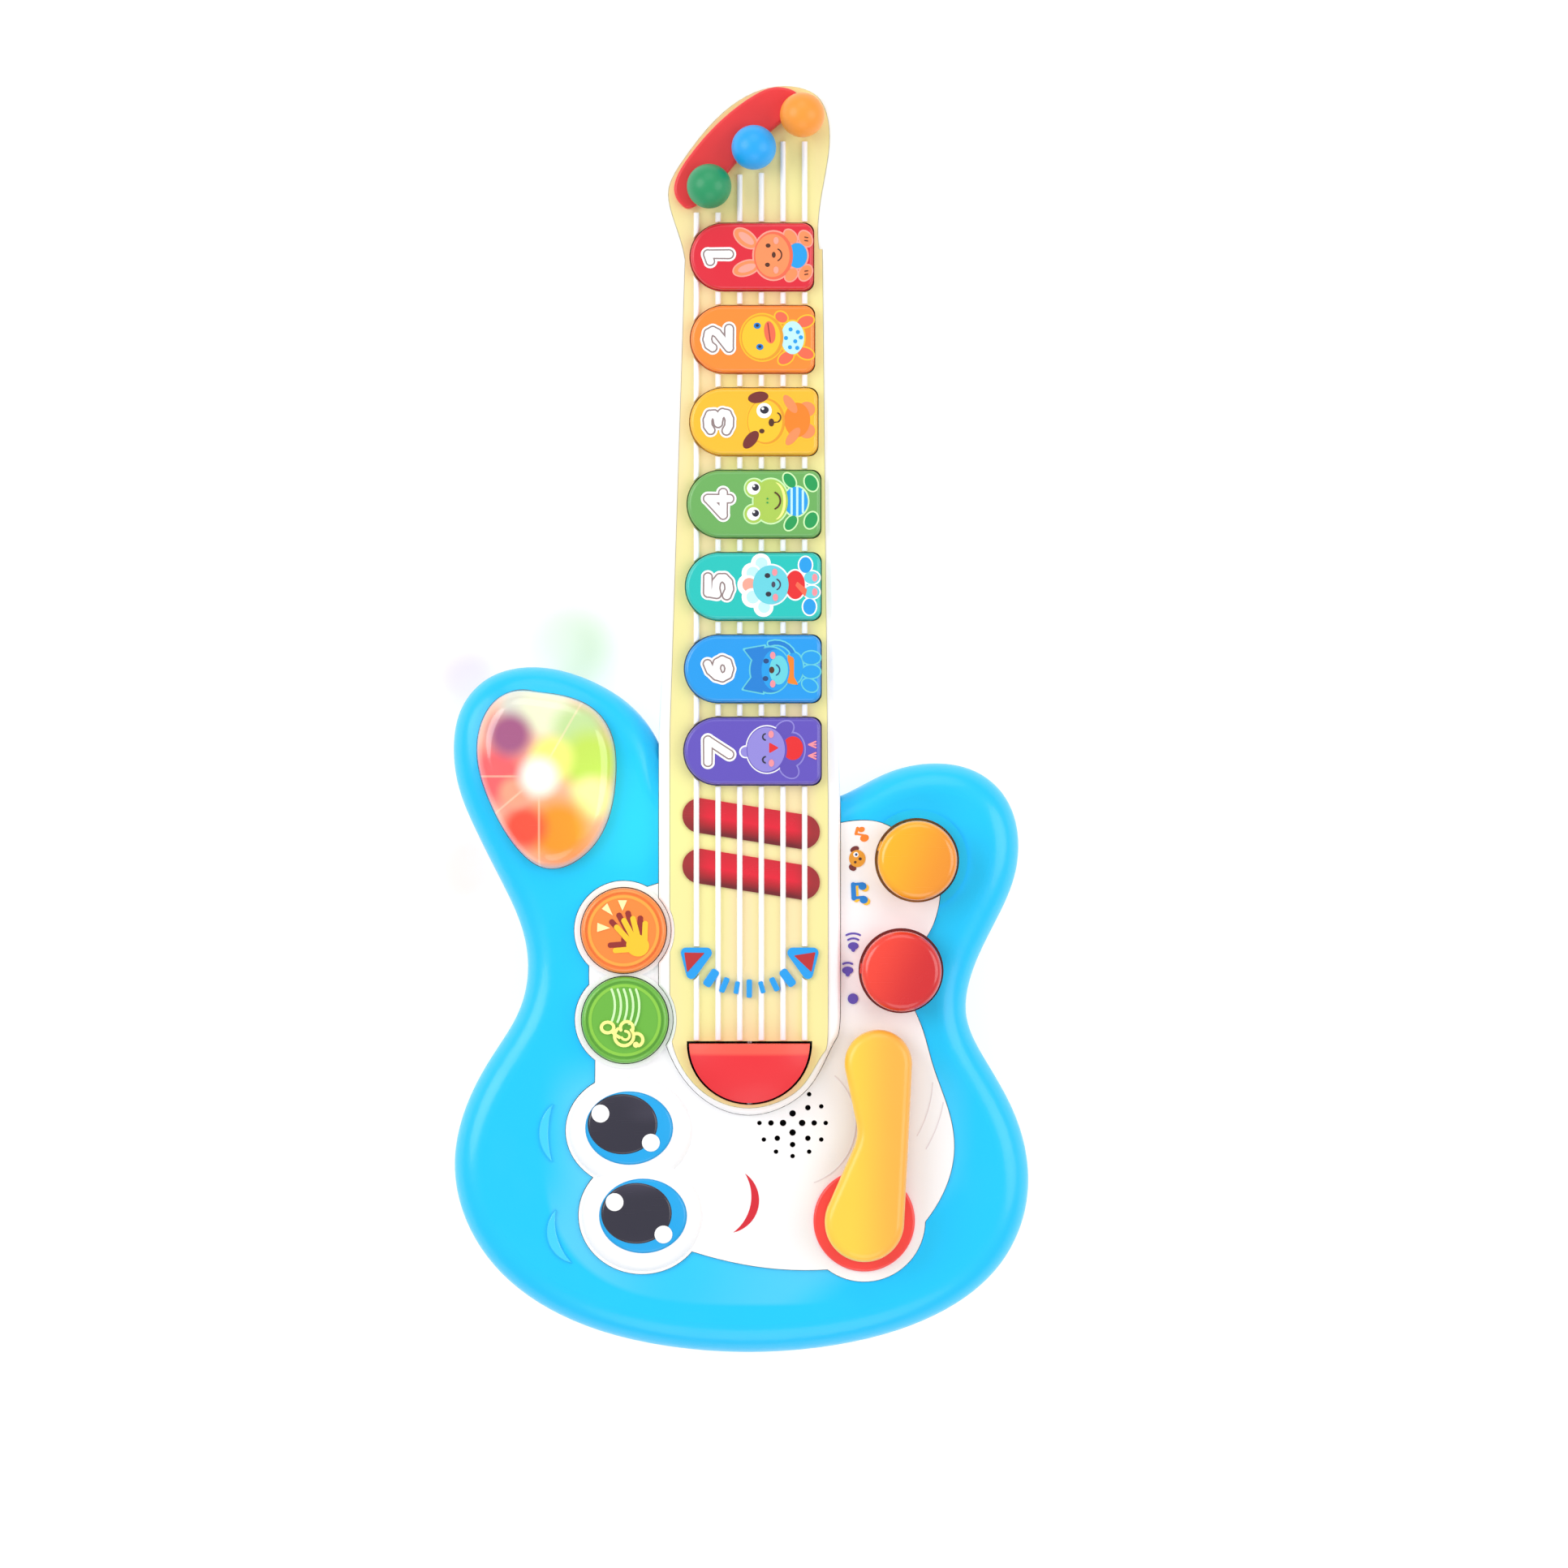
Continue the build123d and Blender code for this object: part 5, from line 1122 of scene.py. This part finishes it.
    def lamb(self) -> None:
        """Pale blue lamb with white curls and a red scarf."""
        page, rim = self.page, Ink.WHITE
        self.limbs([(6.4, self.foot + 3.6, 2.4, 1.9, 0), (-6.2, self.foot + 2.4, 2.4, 1.9, 0)], Ink.SKY, rim)
        self.limbs([(2.6, self.foot + 1.7, 1.9, 2.3, 0), (-1.8, self.foot + 1.7, 1.9, 2.3, 0)], Ink.AQUA, rim)
        self.limbs([(2.6, self.foot + 0.8, 1.2, 0.8, 0), (-1.8, self.foot + 0.8, 1.2, 0.8, 0)], Ink.PINK, rim)
        page.blob(0.4, -5.0, 4.3, 2.9, Ink.RED, 0, rim)
        page.patch([(0.2, -5.0), (-3.2, -8.0), (-1.0, -8.6), (1.4, -5.6)], Ink.CORAL, 0.3)
        for u, v, r in ((6.9, 5.4, 2.5), (-6.3, 4.6, 2.5), (3.9, 8.0, 2.7), (0.4, 9.1, 2.9),
                        (-3.3, 8.0, 2.7)):
            page.blob(u, v, r, r, Ink.WHITE, 0, rim)
            page.blob(u, v - 0.2, r * 0.72, r * 0.72, Ink.BLUSH if abs(u) < 1 else Ink.PALE_AQUA)
        page.blob(0.4, 2.4, 5.9, 5.4, Ink.AQUA, 0, rim)
        self.eyes([(3.2, 3.4), (-2.4, 3.1)], 0.75)
        page.blob(0.5, 1.6, 0.9, 0.6, Ink.SLATE)
        self.smile(0.5, 1.2, 1.7, Ink.SLATE)
        self.cheeks([(4.2, 1.2), (-3.4, 1.0)])

    def cat(self) -> None:
        """Blue cat with an orange bib."""
        page, rim = self.page, Ink.AQUA
        page.path(arc_points((4.5, -4.4), (7.2, -1.9), (7.6, 2.6), 6), 2.1, rim, behind=True)
        page.path(arc_points((4.5, -4.4), (7.2, -1.9), (7.6, 2.6), 6), 1.2, Ink.AZURE)
        self.limbs([(3.3, self.foot + 1.9, 1.9, 2.7, 0), (-0.9, self.foot + 1.9, 1.9, 2.7, 0),
                    (-5.0, self.foot + 2.3, 1.7, 2.4, -30)], Ink.SKY, rim)
        page.blob(0.2, -4.6, 4.6, 2.7, Ink.SKY, 0, rim)
        page.patch([(4.3, -2.7), (-4.4, -2.7), (-4.9, -5.9), (-2.4, -4.6), (3.2, -4.6)], Ink.ORANGE, 0.4)
        for tip, left, right in (((5.8, 10.4), (1.4, 7.0), (6.9, 4.2)),
                                 ((-6.2, 10.8), (-1.6, 7.4), (-7.4, 4.6))):
            page.patch([tip, left, right], Ink.AZURE, 0.5)
            for a, b in ((tip, left), (left, right), (right, tip)):
                page.bar(a, b, 0.9, rim, behind=True)
        page.blobs((-0.4, 2.6, 6.8, 5.9, Ink.AZURE, 0, rim), (-0.4, 1.0, 6.2, 4.2, Ink.SKY),
                   (-0.4, 0.0, 4.4, 2.8, Ink.AQUA))
        self.eyes([(2.3, 3.8), (-3.0, 4.0)], 0.75, Ink.NAVY)
        page.blob(-0.4, 2.1, 1.0, 0.8, Ink.UMBER)
        self.smile(-0.4, 1.4, 1.7, Ink.NAVY)
        self.cheeks([(4.0, 1.8), (-4.6, 1.8)])

    def bird(self) -> None:
        """Violet bird with a red front."""
        page, rim = self.page, Ink.LILAC
        for u in (2.0, -1.4):
            for lean in (-0.9, 0.0, 0.9):
                page.bar((u, self.foot + 2.6), (u + lean, self.foot + 0.5), 0.5, Ink.PINK)
        self.limbs([(6.4, -1.6, 2.2, 3.1, 40), (-5.4, -3.1, 2.2, 3.1, -40)], Ink.PURPLE, rim)
        page.blobs((0.5, -4.2, 4.9, 3.5, Ink.PURPLE, 0, rim), (0.9, -4.3, 3.6, 3.1, Ink.RED))
        self.limbs([(-0.2, 10.0, 1.5, 1.5, 0)], Ink.LILAC, Ink.WHITE)
        page.blobs((0.5, 3.6, 7.0, 6.1, Ink.PURPLE, 0, Ink.WHITE, 0.4), (0.5, 3.8, 6.7, 5.7, Ink.LILAC))
        page.patch([(2.7, 2.9), (-0.7, 2.9), (1.0, -0.1)], Ink.RED, 0.5)
        for u in (4.3, -2.6):
            page.arc(u, 3.9, 0.95, 10, 170, 0.45, Ink.NIGHT, 6)
        self.cheeks([(5.1, 2.3), (-3.6, 2.2)])

    def build(self) -> None:
        """Prints the digit and the animal."""
        self.lip()
        self.digit()
        animals: list[Callable[[], None]] = [self.rabbit, self.duck, self.dog, self.frog, self.lamb, self.cat,
                                             self.bird]
        animals[self.number - 1]()
        self.page.done()


# ------------------------------------------------------------------ studio
@dataclass
class Lamp:
    """A soft light.

    Attributes:
        name: its name.
        place: where it stands, in metres.
        size: its width, in metres.
        power: its power, in watts.
        colour: its colour.
        target: what it points at.
    """

    name: str
    place: tuple[float, float, float]
    size: float
    power: float
    colour: Colour = (255, 255, 255)
    target: tuple[float, float, float] = (0.0, 0.0, 0.02)

    def build(self) -> None:
        """Makes the light and points it."""
        data = bpy.data.lights.new(self.name, "AREA")
        data.shape = "DISK"
        data.size = self.size
        data.energy = self.power
        data.color = linear(self.colour)[:3]
        lamp = bpy.data.objects.new(self.name, data)
        lamp.location = self.place
        lamp.rotation_euler = (Vector(self.target) - Vector(self.place)).to_track_quat("-Z", "Y").to_euler()
        lamp.visible_camera = False
        bpy.context.collection.objects.link(lamp)


@dataclass
class Studio:
    """Pale floor, soft lights and the camera above the guitar."""

    floor_half: float = 3.0
    height: float = 2.234
    centre: Point = (0.0131, -0.0199)
    lens: float = 166.5
    # Painted patches of the dome's coloured light on the floor: x, y, radius and colour.
    glow: tuple[tuple[float, float, float, Colour], ...] = (
        (-52.0, 22.0, 20.0, (196, 226, 180)), (-84.0, 12.0, 16.0, (222, 204, 246)),
        (-84.0, -46.0, 18.0, (255, 208, 182)))

    def floor(self) -> None:
        """White floor that the guitar lies on, with painted patches of the dome's coloured light beside the
        body.
        """
        bm = bmesh.new()
        bmesh.ops.create_grid(bm, x_segments=4, y_segments=4, size=self.floor_half)
        mesh = bpy.data.meshes.new("studio_floor")
        bm.to_mesh(mesh)
        bm.free()
        material = bpy.data.materials.new("studio_floor")
        material.use_nodes = True
        kit = Kit(material.node_tree)
        shader = material.node_tree.nodes["Principled BSDF"]
        soft = kit.noise(kit.object_place(), 3.0, 2.0)
        colour = kit.ramp(soft, [(0.3, (252, 252, 252)), (0.7, (255, 255, 255))])
        cloudy = kit.step(kit.noise(kit.object_place(), 22.0, 1.0), 0.3, 0.7)
        # Each patch is painted light from the dome, mixed into the floor's emitted colour.
        for x, y, radius, spill_tint in self.glow:
            away = kit.length(kit.mapping(kit.object_place(), (1, 1, 0), shift=(-x * MM, -y * MM, 0)))
            share = kit.math("MULTIPLY", kit.step(away, radius * MM, radius * 0.2 * MM), cloudy)
            colour = kit.mix(share, colour, linear(spill_tint))
        looks = {"Base Color": linear((160, 160, 160)), "Emission Color": colour, "Emission Strength": 0.8,
                 "Roughness": 0.9, "Specular IOR Level": 0.2}
        for socket, value in looks.items():
            kit.feed(shader.inputs[socket], value)
        mesh.materials.append(material)
        ground = bpy.data.objects.new("studio_floor", mesh)
        bpy.context.collection.objects.link(ground)

    def lights(self) -> None:
        """Soft lights on all sides, strongest at the left, and the dome's coloured spill."""
        around = [("left_key", (-1.4, 0.5, 1.3), 15.0), ("right_fill", (1.4, 0.1, 1.2), 10.5),
                  ("back_fill", (0.0, 1.5, 1.2), 6.0), ("front_fill", (0.1, -1.5, 1.2), 6.5)]
        for name, place, power in around:
            Lamp(name, place, 1.4, power).build()
        Lamp("dome_spill", (-0.036, -0.030, 0.055), 0.03, 0.0015, (170, 240, 90),
             (-0.036, -0.030, 0.0)).build()
        world = bpy.data.worlds.new("studio")
        world.use_nodes = True
        sky = world.node_tree.nodes["Background"]
        sky.inputs["Color"].default_value = (1, 1, 1, 1)
        sky.inputs["Strength"].default_value = 0.55
        bpy.context.scene.world = world

    def camera(self) -> None:
        """Camera that looks straight down."""
        data = bpy.data.cameras.new("camera")
        data.lens = self.lens
        data.sensor_width = 36.0
        camera = bpy.data.objects.new("camera", data)
        camera.location = (self.centre[0], self.centre[1], self.height)
        bpy.context.collection.objects.link(camera)
        bpy.context.scene.camera = camera

    def build(self) -> None:
        """Sets up the floor, the lights and the camera."""
        self.floor()
        self.lights()
        self.camera()
        bpy.context.scene.view_settings.view_transform = "Standard"


def main() -> None:
    """Builds the scene in order."""
    logging.basicConfig(level=logging.INFO, format="%(name)s: %(message)s")
    Studio().build()
    Mouldings().dress()
    Face().build()
    Strum().build()
    Buttons().build()
    for number in range(1, 8):
        KeyPicture(number).build()


if __name__ == "__main__":
    main()
